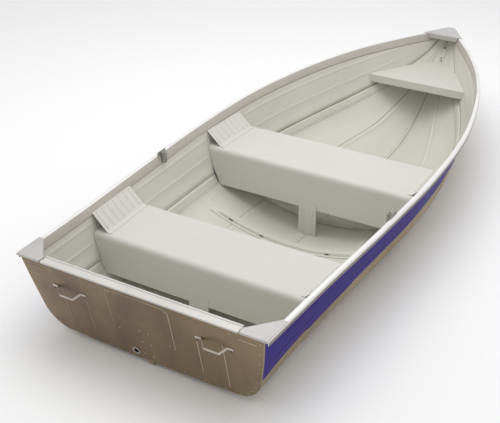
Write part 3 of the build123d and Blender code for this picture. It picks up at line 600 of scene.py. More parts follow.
def skin_grid(part, shares, pressing):
    """Points on one arc of the hull, from the transom's inner face to the bow.

    A point is the arc's point at its share, moved inboard by pressing(x, share, arc length).
    """
    stern_z = np.full(shares.shape, 0.2)
    for _ in range(3):
        stern_x = transom_x(stern_z, TRANSOM_GAUGE)
        stern_z = skin_points(stern_x, part, shares, 0.0)[0][..., 1]
    x = stern_x + (BOW_END * LENGTH - HALF_LENGTH - stern_x) * row_spread(ROWS)[:, None]
    share = np.broadcast_to(shares[None, :], x.shape)
    point, angle = skin_points(x, part, share, 0.0)
    corners, _ = section(x, 0.0)
    length = np.linalg.norm(corners[part + 1] - corners[part], axis=-1)
    point = moved_in(point, angle, pressing(x, share, length))
    return np.concatenate([x[..., None], point], -1), share * length, (1 - share) * length


BENCHES = [
    # name, aft edge from the stern, length, top over the foot, depth
    ("stern", 0.469, 0.352, 0.276, 0.210),
    ("middle", 1.541, 0.363, 0.282, 0.223),
]
RIBS = (("rib_aft", -1.190, 0.472), ("rib_middle", -0.460, 0.494), ("rib_forward", -0.100, 0.492))
BOW_SEAT_AFT = 1.205
STRAKE_SHARE = 0.665
STRAKE_HALF = 0.020
STRAKE_HEIGHT = 0.0060
LEDGE_HEIGHT = 0.009
LEDGE_RUN = 0.009
LEDGE_FADE = 0.070


PRESSED_FROM = -1.72
PRESSED_TO = 1.62


def ends_faded(x):
    """1 along the boat, 0 near the transom and the stem."""
    return ease((x - PRESSED_FROM) / 0.06) * ease((PRESSED_TO - x) / 0.25)


def clear_of_benches(x):
    """0 where a bench's ends lie on the skin, 1 elsewhere: the sheet is left plain there."""
    clear = 1.0
    for _, at, length, _, _ in BENCHES:
        clear = clear * ease((np.abs(x + HALF_LENGTH - at - length / 2) - length / 2 - 0.012) / 0.022)
    return clear


def bottom_pressing(x, share, length):
    """One bead on the bottom arc: its height times the cosine hump of its distance.

    It is pressed flat under the ribs.
    """
    distance = (share - STRAKE_SHARE) * length
    fade = ends_faded(x) * ease(length / 0.20)
    for _, middle, _ in RIBS:
        fade = fade * ease((np.abs(x - middle) - 0.045) / 0.040)
    return STRAKE_HEIGHT * bead(distance, STRAKE_HALF) * fade


def bilge_pressing(x, share, length):
    """The chine's step: up to its full height just under the chine, then fading down the bilge."""
    down = (1 - share) * length
    fade = ends_faded(x) * ease(length / 0.06) * clear_of_benches(x) * ease((BOW_SEAT_AFT - x) / 0.03)
    return LEDGE_HEIGHT * ease(down / LEDGE_RUN) * (1 - ease((down - LEDGE_RUN) / LEDGE_FADE)) * fade


def on_side(points, side):
    """Leave points to port, or mirror them to starboard."""
    return points * np.array([1.0, side, 1.0])


# %% Bottom sheets
bottom_shares = refined(0.0, 1.0, 26, [STRAKE_SHARE], 0.055, 15)
bilge_shares = np.unique(np.concatenate([np.linspace(0.0, 1.0, 18), np.linspace(0.86, 1.0, 12)]))
FAR = 1.0  # a distance at which the finish draws no seam
flat_grid, from_keel, to_bilge = skin_grid(0, bottom_shares, bottom_pressing)
bilge_grid, _, to_chine = skin_grid(1, bilge_shares, bilge_pressing)
bottom_grid = np.concatenate([flat_grid, bilge_grid[:, 1:]], 1)
from_strake = from_keel - STRAKE_SHARE * (from_keel + to_bilge)
bottom_uv = np.concatenate([
    np.stack([from_strake, KEEL_MARK - from_keel], -1),
    np.stack([0 * to_chine[:, 1:] + FAR, to_chine[:, 1:]], -1)], 1)
for side, side_name in ((1, "port"), (-1, "starboard")):
    sheet_mesh = mesh_from(f"bottom_sheet_{side_name}", on_side(bottom_grid, side),
                           grid_faces(*bottom_grid.shape[:2], flip=side < 0), bottom_uv)
    sheet = add_piece(f"bottom_sheet_{side_name}", sheet_mesh, [bottom_sheet, floor_paint],
                      [f"hull_bottom_{side_name}"])
    settle(thicken(sheet, HULL_GAUGE, inside=1), math.radians(60))
    print(sheet.name, len(sheet.data.polygons), "faces")

# %% [markdown]
# ## Side sheets
#
# The sides flare out and are nearly flat, so a real one would drum. Two narrow creases
# pressed along them stiffen them, and fade out where the benches lie on the sheet. They
# stand about two millimetres into the boat.

# %% Side sheets
CREASES = ((0.36, 0.0120, 0.0018), (0.69, 0.0130, 0.0020))
FOLD_RUN = 0.020
FOLD_HEIGHT = 0.0055
FOLD_FADE = 0.055


def side_pressing(x, share, length):
    """The creases, each its height times the cosine hump of its distance, and the fold.

    The fold leans inboard over its run above the chine and then eases back to the sheet.
    """
    fade = ends_faded(x) * ease(length / 0.10) * clear_of_benches(x)
    up = share * length
    fold = np.clip(up / FOLD_RUN, 0, 1) * (1 - ease((up - FOLD_RUN) / FOLD_FADE))
    creases = sum(height * bead((share - at) * length, half) for at, half, height in CREASES)
    return (creases + FOLD_HEIGHT * fold * ease((BOW_SEAT_AFT - x) / 0.03)) * fade


side_shares = np.unique(np.concatenate([
    refined(0.002, 1.0, 18, [row[0] for row in CREASES], 0.065, 13),
    np.linspace(0.002, 0.35, 22)]))
side_grid, from_chine, from_top = skin_grid(2, side_shares, side_pressing)
side_uv = np.stack([from_chine, from_top], -1)
for side, side_name in ((1, "port"), (-1, "starboard")):
    sheet_mesh = mesh_from(f"side_sheet_{side_name}", on_side(side_grid, side),
                           grid_faces(*side_grid.shape[:2], flip=side < 0), side_uv)
    sheet = add_piece(f"side_sheet_{side_name}", sheet_mesh, [side_outside, side_paint],
                      [f"hull_side_{side_name}"])
    settle(thicken(sheet, HULL_GAUGE, inside=1), math.radians(60))
    print(sheet.name, len(sheet.data.polygons), "faces")

# %% [markdown]
# ## Ribs
#
# Three pressed ribs lie across the floor. Each is a hat section that follows the sheet, so
# its surface is the skin's own section moved inboard by the height of the hat, and the hat
# flattens toward its ends. Water runs past through small slots in the aft flank; here they
# are dark flat ovals laid on it, painted shade where the holes would be.

# %% Ribs
RIB_HALF = 0.040
RIB_HEIGHT = 0.015
RIB_CLEAR = 0.0034


def rib_surface(middle, end_y):
    """Grid of one rib: across its width, and along the section from side to side.

    A point is the skin's point moved inboard by the clearance plus the hat's height, which
    eases up over the rib's flanks and down again toward its two ends.
    """
    width = np.linspace(-RIB_HALF, RIB_HALF, 41)
    bilge = np.linspace(0, 1, 60)
    reach = skin_points(np.full(60, middle), 1, bilge, HULL_GAUGE)[0][:, 0]
    end_share = float(np.interp(end_y, reach, bilge))
    found = []
    for part, shares in ((0, np.linspace(0, 1, 40)), (1, np.linspace(0, end_share, 24)[1:])):
        x = np.broadcast_to((middle + width)[:, None], (len(width), len(shares)))
        point, angle = skin_points(x, part, np.broadcast_to(shares, x.shape), HULL_GAUGE)
        found.append(np.concatenate([x[..., None], point, angle[..., None]], -1))
    found = np.concatenate(found, 1)
    hat = ease((0.0290 - np.abs(width)) / 0.0095)[:, None] * ease((end_y - found[..., 1]) / 0.07)
    place = moved_in(found[..., 1:3], found[..., 3], RIB_CLEAR + RIB_HEIGHT * hat)
    place[..., 0] = np.maximum(place[..., 0], 0.0)
    port = np.concatenate([found[..., :1], place], -1)
    return np.concatenate([on_side(port, -1)[:, :0:-1], port], 1)


for node, middle, end_y in RIBS:
    rib_points = rib_surface(middle, end_y)
    rib_mesh = mesh_from(f"{node}_pressed", rib_points, grid_faces(*rib_points.shape[:2], flip=True))
    rib = add_piece(f"{node}_pressed", rib_mesh, [hull_paint], [node])
    settle(thicken(rib, HULL_GAUGE))
    print(rib.name, len(rib.data.polygons), "faces")

# %% [markdown]
# ## Rail
#
# The rail is one extrusion: a lip rolled down outboard, a flat top and a leg inside the
# side sheet. Its section changes a little as the sides lean, so it isn't a plain sweep: at
# each place the outline is worked out from the table again, with round corners, and the
# outlines are joined. The top is polished by hands and oars, the lip and leg are dull. The
# lip's dark taupe is painted shade.


# %% Rail outline
def rounded_outline(corners, radii, steps):
    """Replace each corner of outlines (places, corners, 2) by an arc of its own radius.

    The arc is a quadratic curve from one tangent point to the other, with the corner as
    its middle control point.
    """
    points = []
    count = corners.shape[-2]
    for k in range(count):
        here = corners[..., k, :]
        before = corners[..., k - 1, :] - here
        after = corners[..., (k + 1) % count, :] - here
        before = before / np.linalg.norm(before, axis=-1, keepdims=True)
        after = after / np.linalg.norm(after, axis=-1, keepdims=True)
        half = np.arccos(np.clip((before * after).sum(-1, keepdims=True), -1, 1)) / 2
        run = radii[k] / np.tan(np.maximum(half, 0.2))
        for t in np.linspace(0, 1, steps):
            points.append((1 - t)**2 * (here + before * run) + 2 * t * (1 - t) * here
                          + t**2 * (here + after * run))
    return np.stack(points, -2)


CORNER_STEPS = 5
RAIL_RADII = (0.0105, 0.0012, 0.0012, 0.0035, 0.0030, 0.0010, 0.0010, 0.0035)


def rail_sections(x):
    """Corners of the rail: outer top, lip foot, lip inside, under the top, leg outside and in."""
    corners, bows = section(x, HULL_GAUGE + FIT)
    edge, top = rail_edge(x)
    chine, head = corners[2], corners[3]
    chord = np.linalg.norm(head - chine, axis=-1)
    _, top_angle = arc_between(chine, head, bows[2], np.ones_like(x))
    high_z = FOOT_Z + offsets_at(x)[5] * TRANSOM_HEIGHT
    depth = np.minimum(RAIL_LEG, 0.7 * (top - high_z))
    side_radius = chord / (2 * np.sin(np.maximum(2 * np.arctan(2 * bows[2] / chord), 1e-4)))
    lean = top_angle - depth / (2 * side_radius)
    groove_y = head[..., 0]
    toe_y, toe_z = groove_y - depth * np.cos(lean), top - RAIL_WALL - depth * np.sin(lean)
    wall = RAIL_WALL / np.sin(lean)
    outline = [
        (edge, top), (edge, top - RAIL_LIP), (edge - RAIL_WALL, top - RAIL_LIP),
        (edge - RAIL_WALL, top - RAIL_WALL), (groove_y, top - RAIL_WALL), (toe_y, toe_z),
        (toe_y - wall, toe_z), (groove_y - wall + RAIL_WALL / np.tan(lean), top),
    ]
    return np.stack([np.stack(pair, -1) for pair in outline], -2)


# %% Rails
rail_rows = 150
first_x = transom_x(SHEER_Z, 0.0035)
rail_x = np.linspace(first_x, BOW_END * LENGTH - HALF_LENGTH, rail_rows)
rail_outlines = rounded_outline(rail_sections(rail_x), RAIL_RADII, CORNER_STEPS)
rail_points = np.concatenate([np.broadcast_to(rail_x[:, None, None], rail_outlines.shape[:2] + (1,)),
                              rail_outlines], -1)
rail_points[..., 0] = np.maximum(rail_points[..., 0], transom_x(rail_points[..., 2], 0.0035))
LEG_COLUMNS = (5 * CORNER_STEPS - 1, 7 * CORNER_STEPS + 1)
LIP_COLUMNS = (CORNER_STEPS - 1, 2 * CORNER_STEPS - 1)
for side, side_name in ((1, "port"), (-1, "starboard")):
    columns = rail_points.shape[1]
    faces = tube_faces(rail_rows, columns, flip=side > 0)
    rail_mesh = mesh_from(f"rail_{side_name}", on_side(rail_points, side), faces)
    column_of = np.tile(np.arange(columns), rail_rows - 1)
    leg_side = np.zeros(len(faces), np.int32)
    on_leg = (column_of >= LEG_COLUMNS[0]) & (column_of < LEG_COLUMNS[1])
    on_lip = (column_of >= LIP_COLUMNS[0]) & (column_of < LIP_COLUMNS[1])
    leg_side[:len(column_of)] = on_leg + 2 * on_lip
    rail = add_piece(f"rail_{side_name}", rail_mesh, [rail_alloy, leg_alloy, lip_painted_shade],
                     [f"gunwale_{side_name}"])
    rail.data.polygons.foreach_set("material_index", leg_side)
    settle(rail, math.radians(50))
    print(rail.name, len(rail.data.polygons), "faces")

# %% [markdown]
# ## Transom
#
# The transom is one flat sheet with pressed beads: a round-cornered frame around the motor
# pad, two upright beads on either side and a short one under each corner plate. The sheet
# is a grid between the hull's outline below and the rail above, and each point is moved
# out of the plane by the beads near it. Faces over the drain's bore are left out.


# %% Transom sheet
def up_transom(across, height, out=0.0):
    """A point of the transom's plane in metres: to port, over the foot, out of the outer face."""
    z = FOOT_Z + height
    return np.stack([transom_x(z) - out * math.cos(RAKE) + 0 * across, across + 0 * height,
                     z - out * math.sin(RAKE) + 0 * across], -1)


def to_segment(y, z, start, end):
    """Distance of the points (y, z) from a straight run."""
    run = np.array(end) - np.array(start)
    share = np.clip(((y - start[0]) * run[0] + (z - start[1]) * run[1]) / (run @ run), 0, 1)
    return np.hypot(y - start[0] - share * run[0], z - start[1] - share * run[1])


PAD_HALF = 0.157
PAD_TOP = 0.368
PAD_FOOT = 0.140
PAD_CORNER = 0.022
PAD_BEAD = (0.0055, 0.0032)
TRANSOM_BEADS = [
    # start (y, height), end (y, height), half width, how far it stands out
    ((PAD_HALF, PAD_FOOT), (PAD_HALF, PAD_TOP - PAD_CORNER), *PAD_BEAD),
    ((PAD_HALF - PAD_CORNER, PAD_TOP), (0.0, PAD_TOP), *PAD_BEAD),
    ((0.280, 0.250), (0.280, 0.065), 0.0060, 0.0022),
    ((0.405, 0.280), (0.405, 0.033), 0.0060, 0.0022),
    ((0.490, 0.352), (0.570, 0.352), 0.0050, 0.0030),
]
DRAIN = (0.070, 0.034)
DRAIN_CUT = 0.0155


def transom_pressing(y, height):
    """Height of the tallest bead at a point, and the distance to the nearest bead's middle.

    The pad frame's two corners are quarter rings: distance = how far the radius is off.
    """
    side = np.abs(y) + 0 * height
    out = np.zeros_like(side)
    nearest = np.full_like(side, 0.03)
    for start, end, half, tall in TRANSOM_BEADS:
        away = to_segment(side, height, start, end)
        out = np.maximum(out, tall * bead(away, half))
        nearest = np.minimum(nearest, away)
    dy, dz = side - (PAD_HALF - PAD_CORNER), height - (PAD_TOP - PAD_CORNER)
    arc = np.abs(np.hypot(dy, dz) - PAD_CORNER)
    corner = (dy > 0) & (dz > 0)
    out = np.where(corner, np.maximum(out, PAD_BEAD[1] * bead(arc, PAD_BEAD[0])), out)
    return out, np.where(corner, np.minimum(nearest, arc), nearest)


def transom_outline(shares):
    """The hull's outline on the transom's plane: heights and breadths from keel to rail."""
    pieces = []
    for part in range(3):
        z = np.full(shares.shape, 0.2)
        for _ in range(4):
            point, _ = skin_points(transom_x(z), part, shares, 0.0)
            z = point[..., 1]
        pieces.append(point if part == 0 else point[1:])
    return np.concatenate(pieces)


outline = transom_outline(np.linspace(0, 1, 60))
sheet_top = SHEER_Z - RAIL_WALL - FIT
columns_y = np.unique(np.round(np.concatenate([
    np.interp(np.linspace(0, 1, 70), np.linspace(0, 1, len(outline)), outline[:, 0]),
    np.linspace(0.050, 0.090, 14), np.linspace(0.48, 0.58, 14),
    *[np.linspace(at - 0.009, at + 0.009, 13) for at in (PAD_HALF, 0.280, 0.405)]]), 6))
low_z = np.interp(columns_y, outline[:, 0], outline[:, 1])
rise = np.linspace(0, 1, 140)[:, None]
grid_z = low_z[None, :] + (sheet_top - low_z[None, :]) * rise
pressed, nearest = transom_pressing(columns_y[None, :], grid_z - FOOT_Z)
half_sheet = up_transom(np.broadcast_to(columns_y[None, :], grid_z.shape), grid_z - FOOT_Z, pressed)
whole = np.concatenate([on_side(half_sheet, -1)[:, :0:-1], half_sheet], 1)
nearest = np.concatenate([nearest[:, :0:-1], nearest], 1)

sheet_faces = grid_faces(*whole.shape[:2], flip=True)
face_middle = whole.reshape(-1, 3)[sheet_faces].mean(1)
from_drain = np.hypot(face_middle[:, 1] - DRAIN[0], (face_middle[:, 2] - FOOT_Z - DRAIN[1]) / math.cos(RAKE))
kept, sheet_faces = np.unique(sheet_faces[from_drain > DRAIN_CUT], return_inverse=True)
sheet_uv = np.stack([nearest.ravel()[kept], 0 * kept], -1)
transom_mesh = mesh_from("transom_sheet", whole.reshape(-1, 3)[kept], sheet_faces.reshape(-1, 4), sheet_uv)
transom = add_piece("transom_sheet", transom_mesh, [transom_sheet, hull_paint], ["transom"])
settle(thicken(transom, TRANSOM_GAUGE, inside=1), math.radians(60))
print(transom.name, len(transom.data.polygons), "faces, breadth", round(2 * float(columns_y[-1]), 3))

# %% [markdown]
# ## Benches
#
# A bench is a sheet folded round a block of foam, with a large round on its aft edge where
# a rower's knees go. Its ends follow the sides. The section is a closed outline with round
# corners, and each of its points runs out to port and starboard until it meets the skin.

# %% Inner breadth of the hull
SEAT_GAP = 0.0026


def breadth_at(x, z, inset):
    """Half breadth at (x, z) of the skin moved inboard by inset, read off the section's arcs."""
    shares = np.linspace(0, 1, 40)
    shape = np.broadcast(x, z).shape
    flat_x, flat_z = np.broadcast_to(x, shape).ravel(), np.broadcast_to(z, shape).ravel()
    found = []
    for part in range(3):
        point, _ = skin_points(np.broadcast_to(flat_x[:, None], (flat_x.size, 40)), part,
                               np.broadcast_to(shares, (flat_x.size, 40)), inset)
        found.append(point)
    found = np.concatenate(found, 1)
    nearest = np.argmin(np.abs(found[..., 1] - flat_z[:, None]), 1)
    nearest = np.clip(nearest, 1, found.shape[1] - 2)
    rows = np.arange(flat_x.size)
    a, b = found[rows, nearest - 1], found[rows, nearest + 1]
    share = np.clip((flat_z - a[:, 1]) / np.maximum(b[:, 1] - a[:, 1], 1e-6), 0, 1)
    return (a[:, 0] + share * (b[:, 0] - a[:, 0])).reshape(shape)


# %% Benches
BENCH_RADII = (0.0035, 0.0035, 0.012, 0.034)
for bench_name, at, length, top, depth in BENCHES:
    aft, fore = at - HALF_LENGTH, at + length - HALF_LENGTH
    high, low = FOOT_Z + top, FOOT_Z + top - depth
    corners = np.array([(aft, low), (fore, low), (fore, high), (aft, high)])
    profile = rounded_outline(corners, BENCH_RADII, 9)
    extra = [np.linspace(profile[k], profile[(k + 1) % len(profile)], 8)[:-1] for k in range(len(profile))]
    long_run = [len(e) if np.linalg.norm(e[0] - e[-1]) > 0.05 else 1 for e in extra]
    profile = np.concatenate([e if n > 1 else e[:1] for e, n in zip(extra, long_run)])
    reach = breadth_at(profile[:, 0], profile[:, 1], HULL_GAUGE) - SEAT_GAP
    across = np.linspace(-1, 1, 29)[:, None]
    bench_points = np.stack([profile[:, 0] + 0 * across, reach * across, profile[:, 1] + 0 * across], -1)
    bench_mesh = mesh_from(f"{bench_name}_bench", bench_points, tube_faces(29, len(profile), flip=True))
    bench = add_piece(f"{bench_name}_bench", bench_mesh, [seat_paint], [f"{bench_name}_seat"])
    settle(bench, math.radians(50))
    print(bench.name, len(bench.data.polygons), "faces, width", round(2 * float(reach.max()), 3))

# %% [markdown]
# ## Gussets
#
# A pressed plate ties each bench end to the rail. Seven soft beads run up it, and it turns
# over at its foot to lie on the bench. A flat sheet with a bump map would look right from
# one side only, so the beads are in the surface: the sheet is a grid of distances along
# the bench and up the plate, bent at the foot, and each point is lifted by the beads.

# %% Gusset plates
GUSSET_MARGIN = 0.024
GUSSET_FORE = 0.014
GUSSET_RUN = 0.092
GUSSET_LAP = 0.008
GUSSET_FLANGE = 0.020
GUSSET_UNDER_RAIL = 0.028
GUSSET_BEADS = 7
GUSSET_TOP = 0.925
gusset_tops = []


def gusset_sheet(at, length, top):
    """Grid of a gusset to port: along the bench and up its section, with the beads' ends.

    The section is the flange, a round fold and the sloping plate. A bead's height is its
    cosine hump along the bench times an eased window up the plate.
    """
    aft, fore = at - HALF_LENGTH + GUSSET_MARGIN, at + length - HALF_LENGTH - GUSSET_FORE
    seat_z = FOOT_Z + top + FIT / 2 + HULL_GAUGE
    ends = rail_sections(np.array([aft, fore]))[:, 6, 0]
    low_y = ends.mean() - GUSSET_RUN + GUSSET_LAP
    run = np.array([GUSSET_RUN, SHEER_Z - GUSSET_UNDER_RAIL - seat_z])
    slope = run / np.linalg.norm(run)
    plate = np.linalg.norm(run) * GUSSET_TOP
    fold = 0.006
    up = np.concatenate([[-GUSSET_FLANGE], np.linspace(-fold, fold, 9), np.linspace(fold, plate, 34)[1:]])
    level = np.clip(up, None, 0.0)
    raised = np.clip(up, 0.0, None)
    soft = np.clip(1 - np.abs(up) / fold, 0, 1)**2 * fold / 4
    section_y = low_y + level + raised * slope[0]
    section_z = seat_z + raised * slope[1] + soft
    across = np.linspace(-0.5, 0.5, 20 * GUSSET_BEADS + 1)
    pitch = 1.0 / GUSSET_BEADS
    from_bead = (across + 0.5) % pitch - pitch / 2
    share = up / plate
    window = ease((share - 0.10) / 0.10) * (1 - ease((share - 0.80) / 0.08))
    lift = 0.0052 * bead(from_bead * (fore - aft), 0.0105)[:, None] * window[None, :]
    drift = (ends[1] - ends[0]) * across
    normal = np.array([-slope[1], slope[0]])
    x = (aft + fore) / 2 + (fore - aft) * across
    points = np.stack([
        np.broadcast_to(x[:, None], lift.shape), section_y + drift[:, None] + normal[0] * lift,
        section_z + normal[1] * lift], -1)
    centres = np.linspace(-0.5 + pitch / 2, 0.5 - pitch / 2, GUSSET_BEADS)
    ends_up = plate * 0.885
    tops = np.stack([(aft + fore) / 2 + (fore - aft) * centres,
                     low_y + ends_up * slope[0] + (ends[1] - ends[0]) * centres,
                     seat_z + ends_up * slope[1] + 0 * centres], -1)
    return points, tops, np.array([0.0, normal[0], normal[1]])


for bench_name, at, length, top, depth in BENCHES:
    gusset_points, tops, facing = gusset_sheet(at, length, top)
    for side, side_name in ((1, "port"), (-1, "starboard")):
        name = f"{bench_name}_gusset_sheet_{side_name}"
        plate_mesh = mesh_from(name, on_side(gusset_points, side),
                               grid_faces(*gusset_points.shape[:2], flip=side > 0))
        plate = add_piece(name, plate_mesh, [seat_paint], [f"{bench_name}_gusset_{side_name}"])
        settle(thicken(plate, HULL_GAUGE), math.radians(60))
        gusset_tops.append((on_side(tops, side), on_side(np.broadcast_to(facing, tops.shape), side)))
print("gussets with", GUSSET_BEADS, "beads each")

# %% [markdown]
# ## CAD pieces with softened edges
#
# The other pieces come from the CAD model as they are, but a folded or cast edge is never
# razor sharp, and the highlight along it is what makes it look like metal. A copy of the
# CAD mesh has its doubled points merged and its coplanar triangles joined, and a small
# Bevel rounds its edges.


# %% Softened copies
def softened(node, material, width):
    """A copy of a CAD node with round edges, which stands in for it."""
    shape = bmesh.new()
    shape.from_mesh(nodes[node].data)
    bmesh.ops.remove_doubles(shape, verts=shape.verts, dist=1e-5)
    bmesh.ops.dissolve_limit(shape, angle_limit=math.radians(0.6), verts=shape.verts, edges=shape.edges)
    mesh = bpy.data.meshes.new(f"{node}_soft")
    shape.to_mesh(mesh)
    shape.free()
    piece = add_piece(f"{node}_soft", mesh, [material], [node])
    edge = piece.modifiers.new("round edges", "BEVEL")
    edge.width = width
    edge.segments = 2
    edge.limit_method = "ANGLE"
    edge.angle_limit = math.radians(28)
    return settle(piece, weighted=True)


SOFTENED = [
    # node, material, slot, width of the round edge
    ("keel", bottom_sheet, "bare_sheet", 0.0020),
    ("stem_band", bottom_sheet, "bare_sheet", 0.0012),
    ("drain_tube", drain_alloy, "cast_alloy", 0.0003),
    ("motor_board", hull_paint, "board_wood", 0.0020),
    ("transom_cap", cap_alloy, "rail_alloy", 0.0010),
    ("corner_plate_port", plate_alloy, "rail_alloy", 0.0010),
    ("corner_plate_starboard", plate_alloy, "rail_alloy", 0.0010),
    ("lift_handle_port", cast_alloy, "cast_alloy", 0.0006),
    ("lift_handle_starboard", cast_alloy, "cast_alloy", 0.0006),
    ("transom_knee", hull_paint, "hull_paint", 0.0006),
    ("stern_post", seat_paint, "seat_paint", 0.0008),
    ("middle_post", seat_paint, "seat_paint", 0.0008),
    ("bow_seat", seat_paint, "seat_paint", 0.0006),
    ("oarlock_socket_port", socket_alloy, "cast_alloy", 0.0008),
    ("oarlock_socket_starboard", socket_alloy, "cast_alloy", 0.0008),
    ("bow_plate", plate_alloy, "rail_alloy", 0.0010),
    ("bow_eye", cast_alloy, "cast_alloy", 0.0008),
    ("stem_strap", hull_paint, "bare_sheet", 0.0010),
]
for node, material, slot, width in SOFTENED:
    softened(node, material, width)
print(len(SOFTENED), "softened pieces")

# %% [markdown]
# ## Rivets
#
# This boat shows over a thousand rivets. An instancer would scatter objects that
# the export can't carry as one mesh, so all heads of a seam are one array: the same small
# dome, placed and turned by each rivet's own place and normal.

# %% Rivet heads
DOME = np.array([(1.0, -0.35), (0.97, 0.15), (0.72, 0.70), (0.35, 1.0)])
DISC = np.array([(1.0, -0.5), (1.0, 0.6), (0.9, 1.0)])


def heads(name, centres, outward, radius, height, material, slot, profile=DOME, sides=8, long=None):
    """Many heads as one piece.

    Point (k, j) of a head = centre + radius * profile radius k * (cos and sin of the angle j
    along two directions in the surface) + height * profile height k along the normal.
    """
    centres = np.concatenate([np.reshape(c, (-1, 3)) for c in centres])
    outward = np.concatenate([np.reshape(o, (-1, 3)) for o in outward])
    outward = outward / np.linalg.norm(outward, axis=1, keepdims=True)
    guide = np.where(np.abs(outward[:, :1]) < 0.9, [[1.0, 0.0, 0.0]], [[0.0, 1.0, 0.0]])
    over = np.cross(outward, guide)
    over = over / np.linalg.norm(over, axis=1, keepdims=True)
    along = np.cross(over, outward)
    stretch = (1.0, 1.0) if long is None else long
    turn = np.linspace(0, 2 * np.pi, sides, endpoint=False)
    flat = (stretch[0] * np.cos(turn)[:, None] * along[:, None]
            + stretch[1] * np.sin(turn)[:, None] * over[:, None])
    points = (centres[:, None, None] + radius * profile[None, :, None, :1] * flat[:, None]
              + height * profile[None, :, None, 1:] * outward[:, None, None])
    one = tube_faces(len(profile), sides, flip=True)
    step = len(profile) * sides
    quads = np.array(one[:-2])[None] + step * np.arange(len(centres))[:, None, None]
    ends = np.array(one[-2:])[None] + step * np.arange(len(centres))[:, None, None]
    faces = quads.reshape(-1, 4).tolist() + ends.reshape(-1, sides).tolist()
    piece = add_piece(name, mesh_from(name, points, faces), [material])
    settle(piece, math.radians(50))
    print(name, len(centres), "heads")
    return piece


def skin_frame(x, part, share, inset, pressing=None):
    """Points on a skin and normals that point inboard, from two small steps along it."""
    def place(x, share):
        point, angle = skin_points(x, part, share, inset)
        if pressing is not None:
            corners, _ = section(x, inset)
            length = np.linalg.norm(corners[part + 1] - corners[part], axis=-1)
            point = moved_in(point, angle, pressing(x, share, length))
        return np.concatenate([x[..., None], point], -1)

    here = place(x, share)
    return here, np.cross(place(x + 0.002, share) - here, place(x, share + 0.004) - here)


def arc_length(x, part):
    """Chord of one arc of the section at the places x."""
    corners, _ = section(x, HULL_GAUGE)
    return np.linalg.norm(corners[part + 1] - corners[part], axis=-1)


def heads_on_both_sides(name, rows, *look):
    """Heads at rows of (places, normals) to port, and at the same rows to starboard."""
    places = [on_side(place, side) for place, _ in rows for side in (1, -1)]
    normals = [on_side(normal, side) for _, normal in rows for side in (1, -1)]
    return heads(name, places, normals, *look)


# %% Rivets along the seams
def seam_rows(first, last, spacing, part, distances, from_end, inset, pressing=None):
    """Rows of rivets at distances from one end of an arc, each row half a space on."""
    found = []
    for row, distance in enumerate(distances):
        x = np.arange(first + row * spacing / 2, last, spacing)
        share = distance / arc_length(x, part)
        share = np.clip(1 - share if from_end else share, 0.02, 0.98)
        found.append(skin_frame(x, part, share, inset, pressing))
    return np.concatenate([f[0] for f in found]), np.concatenate([f[1] for f in found])


SEAM_SPACING = 0.024
SEAM_ROWS = (0.046, 0.057)
inside_seams = [
    seam_rows(-1.66, 1.38, SEAM_SPACING, 1, SEAM_ROWS, True, HULL_GAUGE, bilge_pressing),
    seam_rows(-1.52, 1.30, 0.026, 0, (0.017,), False, HULL_GAUGE, bottom_pressing),
]
heads_on_both_sides("inside_seam_rivets", inside_seams, 0.0030, 0.0014, floor_paint, "hull_paint")

seam_place, seam_normal = seam_rows(-1.70, 1.50, SEAM_SPACING, 1, SEAM_ROWS, True, 0.0, bilge_pressing)
heads_on_both_sides("outside_seam_rivets", [(seam_place, -seam_normal)],
                    0.0032, 0.0015, bottom_sheet, "bare_sheet")

RAIL_SPACING = 0.128
leg_x = np.arange(-1.62, 1.58, RAIL_SPACING)
leg = rail_sections(leg_x)
foot, head = leg[:, 6], leg[:, 7]
up_leg = head - foot
leg_place = np.concatenate([leg_x[:, None], foot + 0.45 * up_leg], -1)
leg_normal = np.stack([0 * leg_x, -up_leg[:, 1], up_leg[:, 0]], -1)
heads_on_both_sides("rail_rivets", [(leg_place, leg_normal)], 0.0034, 0.0014, rivet_alloy, "rail_alloy")

# %% Rivets on the transom
TRANSOM_RIVETS = [
    # to port, over the foot
    (0.0228, 0.174), (-0.0228, 0.174), (0.0228, 0.107), (-0.0228, 0.107), (0.0228, 0.037),
    (-0.0228, 0.037), (0.131, 0.150), (-0.131, 0.150), (0.446, 0.363), (-0.446, 0.363),
    (0.143, 0.354), (-0.143, 0.354),
]
rivets = np.array(TRANSOM_RIVETS)
pressed, _ = transom_pressing(rivets[:, 0], rivets[:, 1])
stern_normal = np.array([-math.cos(RAKE), 0.0, -math.sin(RAKE)])
heads("transom_rivets", [up_transom(rivets[:, 0], rivets[:, 1], pressed)],
      [np.broadcast_to(stern_normal, (len(rivets), 3))], 0.0040, 0.0020, rivet_alloy, "bare_sheet")
screws = np.array([(0.4465, 0.2650), (0.2875, 0.2650), (-0.2875, 0.2650), (-0.4465, 0.2650)])
heads("handle_screws", [up_transom(screws[:, 0], screws[:, 1], 0.0043)],
      [np.broadcast_to(stern_normal, (4, 3))], 0.0048, 0.0020, dark_steel, "cast_alloy")

EDGE_INSET = 0.016
EDGE_AIM = np.array([0.0, 0.195])
edge_share = np.linspace(0.06, 0.97, 13)
edge_y = np.interp(edge_share, np.linspace(0, 1, len(outline)), outline[:, 0])
edge_z = np.interp(edge_share, np.linspace(0, 1, len(outline)), outline[:, 1])
to_middle = EDGE_AIM - np.stack([edge_y, edge_z], -1)
to_middle = to_middle / np.linalg.norm(to_middle, axis=1, keepdims=True)
edge_at = np.stack([edge_y, edge_z], -1) + EDGE_INSET * to_middle
edge_normal = np.broadcast_to(stern_normal, (len(edge_at), 3))
edge_rows = [(up_transom(edge_at[:, 0], edge_at[:, 1] - FOOT_Z), edge_normal)]
heads_on_both_sides("transom_edge_rivets", edge_rows, 0.0030, 0.0013, transom_sheet, "bare_sheet")

